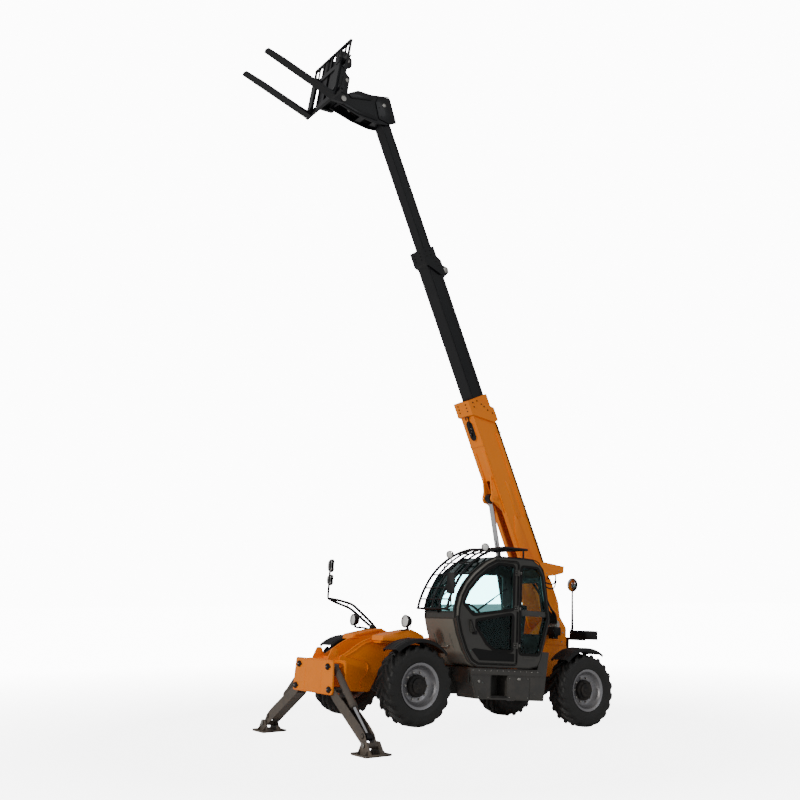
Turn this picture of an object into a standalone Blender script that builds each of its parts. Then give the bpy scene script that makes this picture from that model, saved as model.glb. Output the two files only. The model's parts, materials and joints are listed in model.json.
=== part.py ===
"""Telehandler with a three-stage boom, standing nose-up on its rear wheels and front stabilisers.

Metres, X forward, Y to the driver's left, Z up. Everything is modelled level, in the machine's own
frame, and hangs from one root empty that is pitched nose-up about the rear axle.
"""

import math

import bmesh
import bpy
from mathutils import Matrix, Vector

# ---------------------------------------------------------------- driving sizes
WHEELBASE = 3.40
TYRE_RADIUS = 0.59
TYRE_WIDTH = 0.405
OVERALL_WIDTH = 2.38  # over the tyres
RIM_RADIUS = 0.33
NOSE_UP = math.radians(4.04)  # pitch of the machine on its stabilisers
GAP = 0.0003  # between pieces that touch
CLEAR = 0.006  # between pieces that move past each other
PIN_CLEAR = 0.001  # round a pin in its bore

PLATE = 0.03  # chassis side plates
CHASSIS_HALF = 0.28  # outer face of the side plates
KINGPIN_Y = 0.69

PIVOT = Vector((-1.75, 0, 1.65))  # boom hinge
BOOM_PIN = 0.05
BOOM_ANGLE = math.radians(63.6)
OUTER = {"half": 0.18, "under": -0.15, "top": 0.29, "wall": 0.014, "end": 4.25}
MID = {"half": 0.14, "under": -0.025, "top": 0.255, "wall": 0.012, "out": 7.04}
INNER = {"half": 0.10, "under": 0.04, "top": 0.235, "wall": 0.010, "out": 9.33}
OVERLAP = 0.75  # length a stage keeps inside the one around it
COLLAR = 0.035  # how far a boom head stands proud of its stage

LIFT_LUG = (2.468, -0.249)  # along and above the boom line
LIFT_BASE = Vector((-1.03, 0, 1.15))
LIFT = {"barrel": 0.085, "rod": 0.045, "pin": 0.04, "closed": 1.60}
TILT = {"barrel": 0.052, "rod": 0.028, "pin": 0.022, "closed": 0.62}
TILT_BASE = Vector((2.36, 0, 10.40))
TILT_EYE = Vector((3.25, 0, 10.45))
CARRIAGE_PIN = Vector((3.22, 0, 10.18))
CARRIAGE = {"lean": math.radians(6.5), "face": 0.215, "half": 0.62, "low": -0.14, "high": 0.87, "rail": 0.05,
            "pin": 0.03}
FORK = {"length": 1.32, "width": 0.15, "thick": 0.05, "spread": 0.42, "rise": math.radians(9.5), "heel": -0.213}

LEG_PLANE = 2.765  # X of the stabiliser legs
LEG_PIN = (0.52, 0.475)  # Y, Z
LEG_CYLINDER_PIN = (0.45, 0.80)
FOOT_Y = 1.574
FOOT_HEIGHT = 0.13  # foot pin above the ground
LEG = {"width": 0.17, "depth": 0.15, "wall": 0.014, "pin": 0.024, "eye_back": 0.14, "eye_up": 0.045,
       "eye_room": 0.11}  # the floor stops this far short of the rod's eye, which strays as the leg folds
LEG_CYLINDER = {"barrel": 0.052, "rod": 0.028, "closed": 0.88}

CAB_INNER = 0.30
CAB_OUTER = 1.15
CAB_WALL = 0.045
GLASS = 0.006
HINGE_X = -0.15  # door hinge line
HINGE_Y = CAB_OUTER + 0.013

scene = bpy.context.scene
for old in list(bpy.data.objects):
    bpy.data.objects.remove(old, do_unlink=True)
parts = bpy.data.collections.new("telehandler")
cutters = bpy.data.collections.new("cutters")
for group in (parts, cutters):
    scene.collection.children.link(group)


# ---------------------------------------------------------------- materials
def material(name, colour, roughness, metallic=0.0, alpha=1.0):
    made = bpy.data.materials.new(name)
    made.use_nodes = True
    shader = made.node_tree.nodes["Principled BSDF"]
    shader.inputs["Base Color"].default_value = (*colour, 1)
    shader.inputs["Roughness"].default_value = roughness
    shader.inputs["Metallic"].default_value = metallic
    shader.inputs["Alpha"].default_value = alpha
    return made


ORANGE = material("orange_paint", (0.87, 0.22, 0.012), 0.35)
CHARCOAL = material("charcoal_paint", (0.045, 0.045, 0.048), 0.4)
TAUPE = material("taupe_paint", (0.16, 0.14, 0.12), 0.4)
BLACK = material("black_paint", (0.012, 0.012, 0.018), 0.35)
PLASTIC = material("black_plastic", (0.015, 0.015, 0.017), 0.6)
RUBBER = material("tyre_rubber", (0.02, 0.02, 0.02), 0.85)
CAST = material("cast_iron", (0.03, 0.03, 0.032), 0.6, 0.3)
CHROME = material("chrome", (0.8, 0.8, 0.8), 0.12, 1.0)
CLEAR_GLASS = material("glass", (0.7, 0.9, 0.9), 0.05, 0.0, 0.35)
SEAT_CLOTH = material("seat_cloth", (0.02, 0.02, 0.022), 0.9)
LAMP = material("lamp", (0.75, 0.75, 0.75), 0.15)


# ---------------------------------------------------------------- shape tools
def to_mesh(source, face_out=True):
    """A closed mesh object made from a curve or from an object with live modifiers."""
    bpy.context.view_layer.update()
    graph = bpy.context.evaluated_depsgraph_get()
    data = bpy.data.meshes.new_from_object(source.evaluated_get(graph))
    made = bpy.data.objects.new(source.name, data)
    made.matrix_world = source.matrix_world
    parts.objects.link(made)
    bpy.data.objects.remove(source, do_unlink=True)
    work = bmesh.new()
    work.from_mesh(data)
    bmesh.ops.remove_doubles(work, verts=work.verts, dist=0.00005)
    if face_out:
        bmesh.ops.recalc_face_normals(work, faces=work.faces)
    work.to_mesh(data)
    work.free()
    return made


def settle(obj):
    """Moves the object's placing into its mesh, so that its origin is the group's origin."""
    obj.data.transform(obj.matrix_world)
    obj.matrix_world = Matrix()
    return obj


def from_bmesh(work, name="shape"):
    data = bpy.data.meshes.new(name)
    work.to_mesh(data)
    work.free()
    made = bpy.data.objects.new(name, data)
    parts.objects.link(made)
    return made


def box(low, high):
    """A box between two corners."""
    low, high = Vector(low), Vector(high)
    work = bmesh.new()
    size = Matrix.Diagonal((*(high - low), 1))
    bmesh.ops.create_cube(work, size=1, matrix=Matrix.Translation((low + high) / 2) @ size)
    return from_bmesh(work)


def cylinder(start, end, radius, radius_end=None, sides=20):
    """A round bar, or a cone when the end has its own radius."""
    start, end = Vector(start), Vector(end)
    along = end - start
    turn = Vector((0, 0, 1)).rotation_difference(along).to_matrix().to_4x4()
    place = Matrix.Translation((start + end) / 2) @ turn
    work = bmesh.new()
    second = radius if radius_end is None else radius_end
    bmesh.ops.create_cone(work, cap_ends=True, segments=sides, radius1=radius, radius2=second,
                          depth=along.length, matrix=place)
    return from_bmesh(work)


def ball(centre, radius, flatten=(1, 1, 1), across=16, down=10):
    work = bmesh.new()
    place = Matrix.Translation(centre) @ Matrix.Diagonal((*flatten, 1))
    bmesh.ops.create_uvsphere(work, u_segments=across, v_segments=down, radius=radius, matrix=place)
    return from_bmesh(work)


def rounded(points, radius, steps=4):
    """The outline with each corner replaced by an arc; radius is one value or one for each corner."""
    radii = radius if isinstance(radius, (list, tuple)) else [radius] * len(points)
    made = []
    count = len(points)
    for index, here in enumerate(points):
        here = Vector(here)
        before = Vector(points[index - 1]) - here
        after = Vector(points[(index + 1) % count]) - here
        half = before.angle(after) / 2
        cut = radii[index] / math.tan(half) if radii[index] else 0
        cut = min(cut, 0.48 * before.length, 0.48 * after.length)
        if cut <= 0:
            made.append(tuple(here))
            continue
        start = here + before.normalized() * cut
        end = here + after.normalized() * cut
        for step in range(steps + 1):
            share = step / steps
            made.append(tuple(start * (1 - share) ** 2 + here * (2 * share * (1 - share)) + end * share**2))
    return made


def slab(outline, low, high, plane="xz", holes=()):
    """A flat plate: a filled outline in one plane, from low to high along the third axis."""
    curve = bpy.data.curves.new("outline", "CURVE")
    curve.dimensions = "2D"
    curve.fill_mode = "BOTH"
    curve.extrude = (high - low) / 2
    for ring in (outline, *holes):
        spline = curve.splines.new("POLY")
        spline.points.add(len(ring) - 1)
        for point, (across, up) in zip(spline.points, ring):
            point.co = (across, up, 0, 1)
        spline.use_cyclic_u = True
    source = bpy.data.objects.new("slab", curve)
    parts.objects.link(source)
    middle = (low + high) / 2
    if plane == "xz":
        source.matrix_world = Matrix.Translation((0, middle, 0)) @ Matrix.Rotation(math.pi / 2, 4, "X")
    elif plane == "yz":
        stand = Matrix(((0, 0, 1, 0), (1, 0, 0, 0), (0, 1, 0, 0), (0, 0, 0, 1)))
        source.matrix_world = Matrix.Translation((middle, 0, 0)) @ stand
    else:
        source.matrix_world = Matrix.Translation((0, 0, middle))
    return settle(to_mesh(source))


def pipe(points, radius, resolution=2):
    """A round tube along the points, with closed ends."""
    curve = bpy.data.curves.new("route", "CURVE")
    curve.dimensions = "3D"
    curve.bevel_depth = radius
    curve.bevel_resolution = resolution
    curve.use_fill_caps = True
    spline = curve.splines.new("POLY")
    spline.points.add(len(points) - 1)
    for point, place in zip(spline.points, points):
        point.co = (*place, 1)
    source = bpy.data.objects.new("pipe", curve)
    parts.objects.link(source)
    return settle(to_mesh(source))


def turned(profile, centre, axis="Y", steps=40, closed=True):
    """A profile of (radius, height) points turned about an axis through centre."""
    data = bpy.data.meshes.new("profile")
    points = [(radius, 0, height) for radius, height in profile]
    ends = len(points) if closed else len(points) - 1
    edges = [(index, (index + 1) % len(points)) for index in range(ends)]
    data.from_pydata(points, edges, [])
    source = bpy.data.objects.new("turned", data)
    parts.objects.link(source)
    screw = source.modifiers.new("turn", "SCREW")
    screw.steps = screw.render_steps = steps
    screw.use_merge_vertices = True
    screw.merge_threshold = 0.0001
    turn = Matrix.Rotation(-math.pi / 2, 4, "X") if axis == "Y" else Matrix()
    source.matrix_world = Matrix.Translation(centre) @ turn
    return settle(to_mesh(source))


def combine(base, others, operation):
    for other in others:
        modifier = base.modifiers.new(operation.lower(), "BOOLEAN")
        modifier.operation = operation
        modifier.object = other
        made = to_mesh(base, face_out=False)
        bpy.data.objects.remove(other, do_unlink=True)
        base = made
    return base


def unite(base, *others):
    return combine(base, others, "UNION")


def cut(base, *others):
    return combine(base, others, "DIFFERENCE")


def inset(points, distance):
    """The closed outline moved inwards by a distance (its points run anticlockwise)."""
    made = []
    count = len(points)
    for index in range(count):
        a, b, c = (Vector(points[(index + k) % count]) for k in (-1, 0, 1))
        first, second = (b - a).normalized(), (c - b).normalized()
        inward = Vector((-first.y, first.x)) + Vector((-second.y, second.x))
        inward.normalize()
        share = max(0.35, inward.dot(Vector((-second.y, second.x))))
        made.append(tuple(b + inward * (distance / share)))
    return made


def arc(centre, radius, start, end, steps):
    """Points along an arc, angles in degrees."""
    made = []
    for step in range(steps + 1):
        angle = math.radians(start + (end - start) * step / steps)
        made.append((centre[0] + radius * math.cos(angle), centre[1] + radius * math.sin(angle)))
    return made


def stand(name, parent=None, location=(0, 0, 0), pitch=0.0, roll=0.0, yaw=0.0):
    """An empty that holds a group: pitch lifts the nose, roll is about X, yaw about Z."""
    made = bpy.data.objects.new(name, None)
    parts.objects.link(made)
    made.parent = parent
    made.location = location
    made.rotation_euler = (roll, -pitch, yaw)
    return made


def put(shape, name, finish, holder, origin=(0, 0, 0)):
    """Names a finished shape, gives it its material and hangs it from its empty."""
    shape.name = name
    shape.data.name = name
    shape.data.materials.clear()
    shape.data.materials.append(finish)
    shape.data.transform(Matrix.Translation(-Vector(origin)))
    shape.parent = holder
    shape.matrix_parent_inverse = Matrix()
    shape.location = origin
    shape.data.shade_smooth()
    shape.data.set_sharp_from_angle(angle=math.radians(35))
    return shape


root = stand("machine")


# ---------------------------------------------------------------- chassis
AXLE_X = WHEELBASE / 2
PAN_Z = 0.46  # underside of the chassis
DECK_Z = 1.15
BULKHEAD = 2.60
ARCH_Z = 0.76  # the frame over the axles
REAR_END = -2.12
DECK_TOP = [(1.30, 1.325), (1.52, 1.40), (2.02, 1.285)]  # the small decks beside the boom, over the front axle
DECK_OUT = 0.60


def chassis():
    front, rear = AXLE_X, -AXLE_X
    outline = [
        (BULKHEAD, PAN_Z - 0.01), (BULKHEAD, 0.96), (2.50, 0.985), (2.18, 1.19), (1.90, 1.24), (1.35, 1.24),
        (1.10, DECK_Z), (-0.85, DECK_Z), (PIVOT.x + 0.30, 1.70), (PIVOT.x + 0.17, PIVOT.z + 0.15),
        (PIVOT.x - 0.12, PIVOT.z + 0.14), (PIVOT.x - 0.27, PIVOT.z - 0.05), (PIVOT.x - 0.27, 1.30),
        (REAR_END, 1.05), (REAR_END, 0.62), (rear - 0.22, ARCH_Z), (rear + 0.22, ARCH_Z),
        (rear + 0.42, PAN_Z), (front - 0.42, PAN_Z), (front - 0.22, ARCH_Z), (front + 0.18, ARCH_Z),
        (front + 0.34, 0.44),
    ]
    outline = outline[::-1]
    inner = CHASSIS_HALF - PLATE
    sides = [slab(rounded(outline, 0.06, 3), low, low + PLATE) for low in (inner, -CHASSIS_HALF)]
    pan = box((rear + 0.42, -inner - 0.01, PAN_Z + 0.01), (front - 0.42, inner + 0.01, PAN_Z + 0.03))
    bulkhead = box((BULKHEAD - 0.03, -inner - 0.01, PAN_Z), (BULKHEAD - 0.002, inner + 0.01, 0.94))
    tail = box((REAR_END + 0.002, -inner - 0.01, 0.66), (REAR_END + 0.05, inner + 0.01, 1.03))
    floor = box((front - 0.1, -inner - 0.01, 0.80), (front + 0.1, inner + 0.01, 0.90))
    seat = box((rear - 0.1, -inner - 0.01, 0.80), (rear + 0.1, inner + 0.01, 0.90))
    pins = []
    for place, radius, past in ((PIVOT, BOOM_PIN, 0.03), (LIFT_BASE, LIFT["pin"], 0.01)):
        reach = Vector((0, CHASSIS_HALF + past, 0))
        pins.append(cylinder(place - reach, place + reach, radius, sides=24))
    ears = []
    for low in (inner - 0.09, -inner + 0.06):
        feet = [(LIFT_BASE.x - 0.16, PAN_Z + 0.02), (LIFT_BASE.x + 0.16, PAN_Z + 0.02)]
        ears.append(slab(arc((LIFT_BASE.x, LIFT_BASE.z), 0.11, 0, 180, 8) + feet, low, low + PLATE))
    beams = [box((x - 0.06, -0.62 + GAP, 0.50), (x + 0.06, 0.62 - GAP, 0.60)) for x in (0.35, -0.55)]
    decks = []
    for side in (1, -1):
        low, high = sorted((side * (CHASSIS_HALF - 0.01), side * DECK_OUT))
        deck = slab([(x, z - 0.025) for x, z in DECK_TOP] + DECK_TOP[::-1], low, high)
        low, high = sorted((side * (CHASSIS_HALF - 0.01), side * (CHASSIS_HALF + 0.04)))
        post = box((DECK_TOP[1][0] - 0.04, low, 1.20), (DECK_TOP[1][0] + 0.04, high, DECK_TOP[1][1] - 0.015))
        decks += [deck, post]
    frame = unite(sides[0], sides[1], pan, bulkhead, tail, floor, seat, *pins, *ears, *beams, *decks)
    put(frame, "chassis_frame", ORANGE, root)


STABILISER_PLATE = 0.025
BOX_FRONT = 2.885


def stabiliser_box():
    corners = rounded([(-0.62, 0.40), (0.62, 0.40), (0.58, 0.90), (-0.58, 0.90)], 0.06, 3)
    front = slab(corners, BOX_FRONT - STABILISER_PLATE, BOX_FRONT, "yz")
    rear_face = LEG_PLANE - LEG["width"] / 2 - CLEAR
    back = slab(corners, rear_face - STABILISER_PLATE, rear_face, "yz")
    pieces = [back]
    hub_low = BULKHEAD + GAP
    pieces.append(box((hub_low, -0.24, 0.50), (BOX_FRONT - 0.005, 0.24, 0.90)))
    for side in (1, -1):
        for y, z in (LEG_PIN, LEG_CYLINDER_PIN):
            start, end = (rear_face - 0.04, side * y, z), (BOX_FRONT + 0.03, side * y, z)
            pieces.append(cylinder(start, end, LEG["pin"], sides=16))
        eye = slab(rounded([(2.56, 0.88), (2.80, 0.88), (2.715, 1.07), (2.64, 1.07)], 0.04, 3),
                   side * 0.235 - 0.015, side * 0.235 + 0.015, holes=[arc((2.68, 0.99), 0.022, 0, 330, 11)])
        pieces.append(eye)
    # the lugs start behind the bulkhead plate, so they are trimmed to the box
    body = unite(front, *pieces)
    body = cut(body, box((2.3, -1, 0.2), (hub_low, 1, 1.3)))
    put(body, "stabiliser_box", ORANGE, root)


def counterweight():
    outline = [(-2.33, 0.62), (REAR_END - GAP, 0.56), (REAR_END - GAP, DECK_Z - 0.11), (-2.33, 1.0)]
    shape = slab(rounded(outline, [0.06, 0, 0, 0.06], 3), -0.40, 0.40)
    put(shape, "counterweight", CHARCOAL, root)


LAMP_BAR = {"x": REAR_END - 0.05, "z": 1.40, "size": 0.05, "arm": 0.56}
LAMP_BOX = {"x": (-1.95, -1.83), "y": (0.57, 1.13), "z": (1.415, 1.565)}
REAR_MIRROR = {"at": (-1.88, 0.575, 2.345), "radius": 0.115, "thick": 0.035, "stem": 0.011}


def rear_light_bar():
    """A cross bar behind the tower, arms forward to the two lamp boxes, and the round mirror on its stem."""
    x, z, size, arm = (LAMP_BAR[key] for key in ("x", "z", "size", "arm"))
    bar = box((x, -arm - size, z), (x + size, arm + size, z + size))
    pieces = []
    for side in (1, -1):
        low, high = sorted((side * arm, side * (arm + size)))
        pieces.append(box((x + 0.001, low, z + 0.001), (LAMP_BOX["x"][1] - 0.02, high, z + size - 0.001)))
        low, high = sorted(side * y for y in LAMP_BOX["y"])
        (back, front), (under, top) = LAMP_BOX["x"], LAMP_BOX["z"]
        pieces.append(box((back, low, under), (front, high, top)))
    mirror = Vector(REAR_MIRROR["at"])
    foot = Vector((mirror.x - 0.01, mirror.y + 0.015, LAMP_BOX["z"][1] - 0.01))
    stem = pipe([tuple(foot), tuple(foot.lerp(mirror, 0.5)), tuple(mirror)], REAR_MIRROR["stem"])
    half = Vector((REAR_MIRROR["thick"] / 2, 0, 0))
    disc = cylinder(mirror - half, mirror + half, REAR_MIRROR["radius"], sides=24)
    strut = box((x + 0.002, -0.2, DECK_Z - 0.11 + GAP), (x + size - 0.012, 0.2, z + 0.01))
    put(unite(bar, *pieces, stem, disc, strut), "rear_light_bar", PLASTIC, root)


# ---------------------------------------------------------------- axles, knuckles, wheels
YOKE = {"half": 0.17, "ear": 0.035, "arm": 0.075, "past": 0.03}


def axle(name, x):
    z = TYRE_RADIUS
    pieces = []
    beam = cylinder((x, -0.56, z), (x, 0.56, z), 0.085)
    pieces.append(ball((x, 0, z), 0.17, (1, 0.9, 1)))
    pieces.append(box((x - 0.09, -0.20, z), (x + 0.09, 0.20, 0.80 - GAP)))
    for side in (1, -1):
        inner, outer = side * 0.52, side * (KINGPIN_Y + YOKE["past"])
        low, high = min(inner, outer), max(inner, outer)
        for level in (1, -1):
            edge = z + level * YOKE["half"]
            pieces.append(box((x - YOKE["arm"], low, min(edge, edge - level * YOKE["ear"])),
                              (x + YOKE["arm"], high, max(edge, edge - level * YOKE["ear"]))))
        pieces.append(box((x - YOKE["arm"], min(inner, side * 0.58), z - YOKE["half"]),
                          (x + YOKE["arm"], max(inner, side * 0.58), z + YOKE["half"])))
    put(unite(beam, *pieces), name, CAST, root)


FENDER_IN = 0.665
FENDER_OUT = 0.682
FENDER_SPAN = {"front": (48, 134), "rear": (44, 120)}  # degrees round the wheel, from the front


def knuckle(x, side, fender_from, fender_to):
    """The steering knuckle with its spindle and the mudguard that it carries."""
    z = TYRE_RADIUS
    half = YOKE["half"] - YOKE["ear"] - CLEAR
    y = side * KINGPIN_Y
    post = cylinder((x, y, z - half), (x, y, z + half), 0.062)
    spindle = cylinder((x, y, z), (x, side * 0.96, z), 0.105)
    centre = (x, z)
    low, high = sorted((side * 0.77, side * (OVERALL_WIDTH / 2 - 0.01)))
    band = arc(centre, FENDER_OUT, fender_from, fender_to, 9)
    under = arc(centre, FENDER_IN, fender_to, fender_from, 9)
    guard = slab(band + under, low, high)
    lip_low, lip_high = sorted((side * (OVERALL_WIDTH / 2 - 0.022), side * (OVERALL_WIDTH / 2 - 0.002)))
    lip = slab(arc(centre, FENDER_OUT + 0.004, fender_from + 1, fender_to - 1, 9)
               + arc(centre, TYRE_RADIUS + 0.03, fender_to - 1, fender_from + 1, 9), lip_low, lip_high)
    arm_low, arm_high = sorted((side * (KINGPIN_Y + 0.06), side * (KINGPIN_Y + 0.085)))
    arm = box((x - 0.02, arm_low, z + 0.06), (x + 0.02, arm_high, z + FENDER_IN + 0.01))
    top_low, top_high = sorted((side * (KINGPIN_Y + 0.055), side * 0.80))
    shelf = box((x - 0.03, top_low, z + FENDER_IN - 0.004), (x + 0.03, top_high, z + FENDER_IN + 0.014))
    return unite(post, spindle, guard, lip, arm, shelf)


def wheel(side):
    """Tyre, rim and planetary hub as one body, its axle along Y and its middle plane at the group's origin."""
    half = TYRE_WIDTH / 2
    tread = TYRE_RADIUS
    crown = [(tread - 0.075, half - 0.008), (tread - 0.03, half), (tread - 0.005, half - 0.035)]
    rim_lip = [(RIM_RADIUS, half - 0.03), (RIM_RADIUS + 0.02, half - 0.02), (RIM_RADIUS + 0.09, half + 0.0)]
    outside = [(0.0, half - 0.05), (0.14, half - 0.05), (0.165, half - 0.065), (0.165, half - 0.16),
               (0.235, half - 0.16), (0.285, half - 0.10), (0.30, half - 0.035), (0.325, half - 0.03)]
    upper = outside + rim_lip[1:] + crown
    lower = [(radius, -height) for radius, height in crown[::-1]]
    lower += [(RIM_RADIUS + 0.09, -half), (RIM_RADIUS + 0.02, -half + 0.02), (0.325, -half + 0.03),
              (0.30, -half + 0.035), (0.29, half - 0.195), (0.15, half - 0.195), (0.115, half - 0.18),
              (0.0, half - 0.18)]
    profile = upper + lower
    if side < 0:
        profile = [(radius, -height) for radius, height in profile][::-1]
    return turned(profile, (0, 0, 0), steps=28, closed=False)


def running_gear():
    centre_y = (OVERALL_WIDTH - TYRE_WIDTH) / 2
    for end, x in (("front", AXLE_X), ("rear", -AXLE_X)):
        axle(f"{end}_axle", x)
        for label, side in (("left", 1), ("right", -1)):
            shape = knuckle(x, side, *FENDER_SPAN[end])
            origin = (x, side * KINGPIN_Y, TYRE_RADIUS)
            put(shape, f"{end}_{label}_knuckle", PLASTIC, root, origin)
            hub = stand(f"{end}_{label}_wheel_axis", root, (x, side * centre_y, TYRE_RADIUS))
            put(wheel(side), f"{end}_{label}_wheel", RUBBER, hub)


# ---------------------------------------------------------------- cab
CAB_SIDE = [  # anticlockwise, seen from the driver's left with the nose to the right
    (0.64, 0.90), (0.78, 0.965), (0.90, 1.13), (1.02, 1.39), (1.085, 1.62), (1.08, 1.78),
    (1.03, 1.98), (0.93, 2.16), (0.77, 2.34), (0.53, 2.52), (0.30, 2.625), (-0.45, 2.635),
    (-0.64, 2.53), (-0.72, 2.38), (-0.85, 1.69), (-0.66, 1.04), (-0.60, 0.94), (-0.42, 0.90),
]
DOOR_SIDE = [
    (0.62, 0.95), (0.74, 1.005), (0.85, 1.15), (0.965, 1.40), (1.03, 1.62), (1.025, 1.77),
    (0.975, 1.95), (0.88, 2.12), (0.725, 2.295), (0.50, 2.465), (0.29, 2.565), (HINGE_X, 2.57), (HINGE_X, 0.95),
]
WINDOW_HIGH = [(-0.05, 1.82), (0.74, 1.70), (0.93, 1.86), (0.84, 2.04), (0.66, 2.24), (0.46, 2.40), (0.26, 2.50),
               (-0.05, 2.50)]
WINDOW_LOW = [(-0.05, 1.17), (0.30, 1.17), (0.46, 1.27), (0.72, 1.585), (-0.05, 1.73)]
WINDOW_REAR = [(-0.61, 1.13), (-0.22, 1.13), (-0.22, 2.50), (-0.55, 2.50), (-0.64, 2.38), (-0.78, 1.70)]
WINDOW_RIGHT = [(-0.5, 1.45), (0.75, 1.55), (0.80, 1.95), (0.45, 2.35), (-0.5, 2.4)]
SCREEN_LOW = 1.72  # height of the windscreen's lower edge
SCREEN_BACK = 0.28  # X where the glass ends on the roof
SCREEN_Y = (0.33, 1.06)


def screen_band(outer, inner):
    """The part of the cab outline that the windscreen covers, between two depths under the surface."""
    keep = [index for index, (x, z) in enumerate(CAB_SIDE) if x > SCREEN_BACK - 0.01 and z > SCREEN_LOW]
    first, last = keep[0] - 1, keep[-1] + 1
    lines = []
    for depth in (outer, inner):
        ring = inset(CAB_SIDE, depth)
        run = [Vector(ring[index]) for index in range(first, last + 1)]
        run[0] = run[0].lerp(run[1], (SCREEN_LOW - run[0].y) / (run[1].y - run[0].y))
        run[-1] = run[-2].lerp(run[-1], (run[-2].x - SCREEN_BACK) / (run[-2].x - run[-1].x))
        lines.append([tuple(point) for point in run])
    return lines[0] + lines[1][::-1]


def cab():
    shell = slab(rounded(CAB_SIDE, 0.05, 2), CAB_INNER, CAB_OUTER)
    room = slab(inset(CAB_SIDE, CAB_WALL), CAB_INNER + CAB_WALL, CAB_OUTER - CAB_WALL)
    door_hole = slab(inset(rounded(DOOR_SIDE, 0.03, 2), -CLEAR), CAB_OUTER - 0.2, CAB_OUTER + 0.1)
    quarter = slab(rounded(WINDOW_REAR, 0.04, 3), CAB_OUTER - 0.2, CAB_OUTER + 0.1)
    screen = slab(screen_band(-0.1, CAB_WALL + 0.06), *SCREEN_Y)
    back = box((-1.2, 0.42, 1.45), (-0.4, 1.0, 2.28))
    inner = slab(rounded(WINDOW_RIGHT, 0.06, 2), CAB_INNER - 0.1, CAB_INNER + 0.2)
    shell = cut(shell, room, door_hole, quarter, screen, back, inner)
    post = box((HINGE_X - 0.055, CAB_OUTER - CAB_WALL, 0.93), (HINGE_X - CLEAR, CAB_OUTER, 2.60))
    shell = unite(shell, post)
    put(shell, "cab_shell", CHARCOAL, root)
    hold = CAB_OUTER - CAB_WALL
    door = slab(rounded(DOOR_SIDE, 0.03, 2), hold, CAB_OUTER,
                holes=[rounded(WINDOW_HIGH, 0.04, 3), rounded(WINDOW_LOW, 0.04, 3)])
    knuckles = []
    for z in (1.25, 1.83, 2.40):
        knuckles.append(cylinder((HINGE_X, HINGE_Y, z - 0.05), (HINGE_X, HINGE_Y, z + 0.05), 0.012, sides=10))
        knuckles.append(box((HINGE_X, CAB_OUTER - 0.003, z - 0.045),
                            (HINGE_X + 0.08, CAB_OUTER + 0.010, z + 0.045)))
    handle = box((0.72, CAB_OUTER - 0.01, 1.42), (0.80, CAB_OUTER + 0.02, 1.60))
    put(unite(door, *knuckles, handle), "cab_door", CHARCOAL, root, (HINGE_X, HINGE_Y, 1.8))
    middle = CAB_OUTER - CAB_WALL / 2
    panes = (("door_upper_glass", WINDOW_HIGH), ("door_lower_glass", WINDOW_LOW), ("quarter_glass", WINDOW_REAR))
    for name, outline in panes:
        pane = slab(inset(rounded(outline, 0.04, 3), GAP), middle - GLASS / 2, middle + GLASS / 2)
        put(pane, name, CLEAR_GLASS, root)
    sheet = slab(screen_band(0.012, 0.012 + GLASS), SCREEN_Y[0] + GAP, SCREEN_Y[1] - GAP)
    put(sheet, "windscreen", CLEAR_GLASS, root)
    pane = slab(inset(rounded(WINDOW_RIGHT, 0.06, 2), GAP), CAB_INNER + 0.02, CAB_INNER + 0.02 + GLASS)
    put(pane, "right_glass", CLEAR_GLASS, root)


def guard():
    """Bars over the windscreen and roof, with the driver's mirror on the outer one."""
    run = [(1.24, 1.75), (1.20, 1.90), (1.12, 2.08), (0.98, 2.30), (0.78, 2.50), (0.52, 2.67), (0.22, 2.78),
           (-0.35, 2.80)]
    bars = []
    for index in range(5):
        y = 0.33 + index * 0.18
        inward = 0.05 * (index / 4) ** 2
        bars.append(pipe([(x - inward, y, z) for x, z in run], 0.012, 1))
    for place in (0, 2, 4, 6, 7):
        x, z = run[place]
        bars.append(pipe([(x, 0.31, z), (x - 0.012, 0.69, z), (x - 0.05, 1.07, z)], 0.012, 1))
    for y, inward in ((0.40, 0.003), (0.98, 0.038)):
        bars.append(cylinder((-0.35 - inward, y, 2.6355), (-0.35 - inward, y, 2.80), 0.014, sides=8))
        bars.append(cylinder((1.088, y, 1.74), (1.24 - inward, y, 1.75), 0.014, sides=8))
    bars.append(cylinder((1.19, 0.98, 1.76), (1.19, 1.16, 1.80), 0.010, sides=8))
    bars.append(cylinder((1.19, 1.14, 1.79), (1.19, 1.14, 2.02), 0.010, sides=8))
    bars.append(box((1.17, 1.06, 1.98), (1.215, 1.20, 2.30)))
    put(unite(*bars), "windscreen_guard", BLACK, root)


def cab_inside():
    base = box((-0.45, 0.50, 0.955), (0.0, 0.92, 1.21))
    profile = [(-0.50, 1.20), (0.05, 1.20), (0.05, 1.33), (-0.38, 1.33), (-0.46, 1.95), (-0.58, 1.93)]
    cushion = slab(rounded(profile, 0.04, 3), 0.47, 0.95)
    put(unite(cushion, base), "seat", SEAT_CLOTH, root)
    desk = slab([(0.60, 1.00), (0.80, 1.25), (0.90, 1.50), (0.62, 1.56), (0.50, 1.40), (0.56, 1.00)], 0.45, 0.97)
    foot, top = Vector((0.66, 0.71, 1.50)), Vector((0.42, 0.71, 1.72))
    column = cylinder(foot, top, 0.03)
    tilt = Matrix.Translation(top) @ Vector((0, 0, 1)).rotation_difference(top - foot).to_matrix().to_4x4()
    ring_profile = arc((0.19, 0), 0.014, 0, 315, 7)
    ring = turned(ring_profile[::-1], (0, 0, 0), axis="Z", steps=24)
    ring.data.transform(tilt)
    spokes = [box((-0.185, -0.012, -0.008), (0.185, 0.012, 0.008)),
              box((-0.012, -0.185, -0.007), (0.012, 0.185, 0.007))]
    for spoke in spokes:
        spoke.data.transform(tilt)
    put(unite(desk, column, ring, *spokes), "dashboard", PLASTIC, root)


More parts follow.
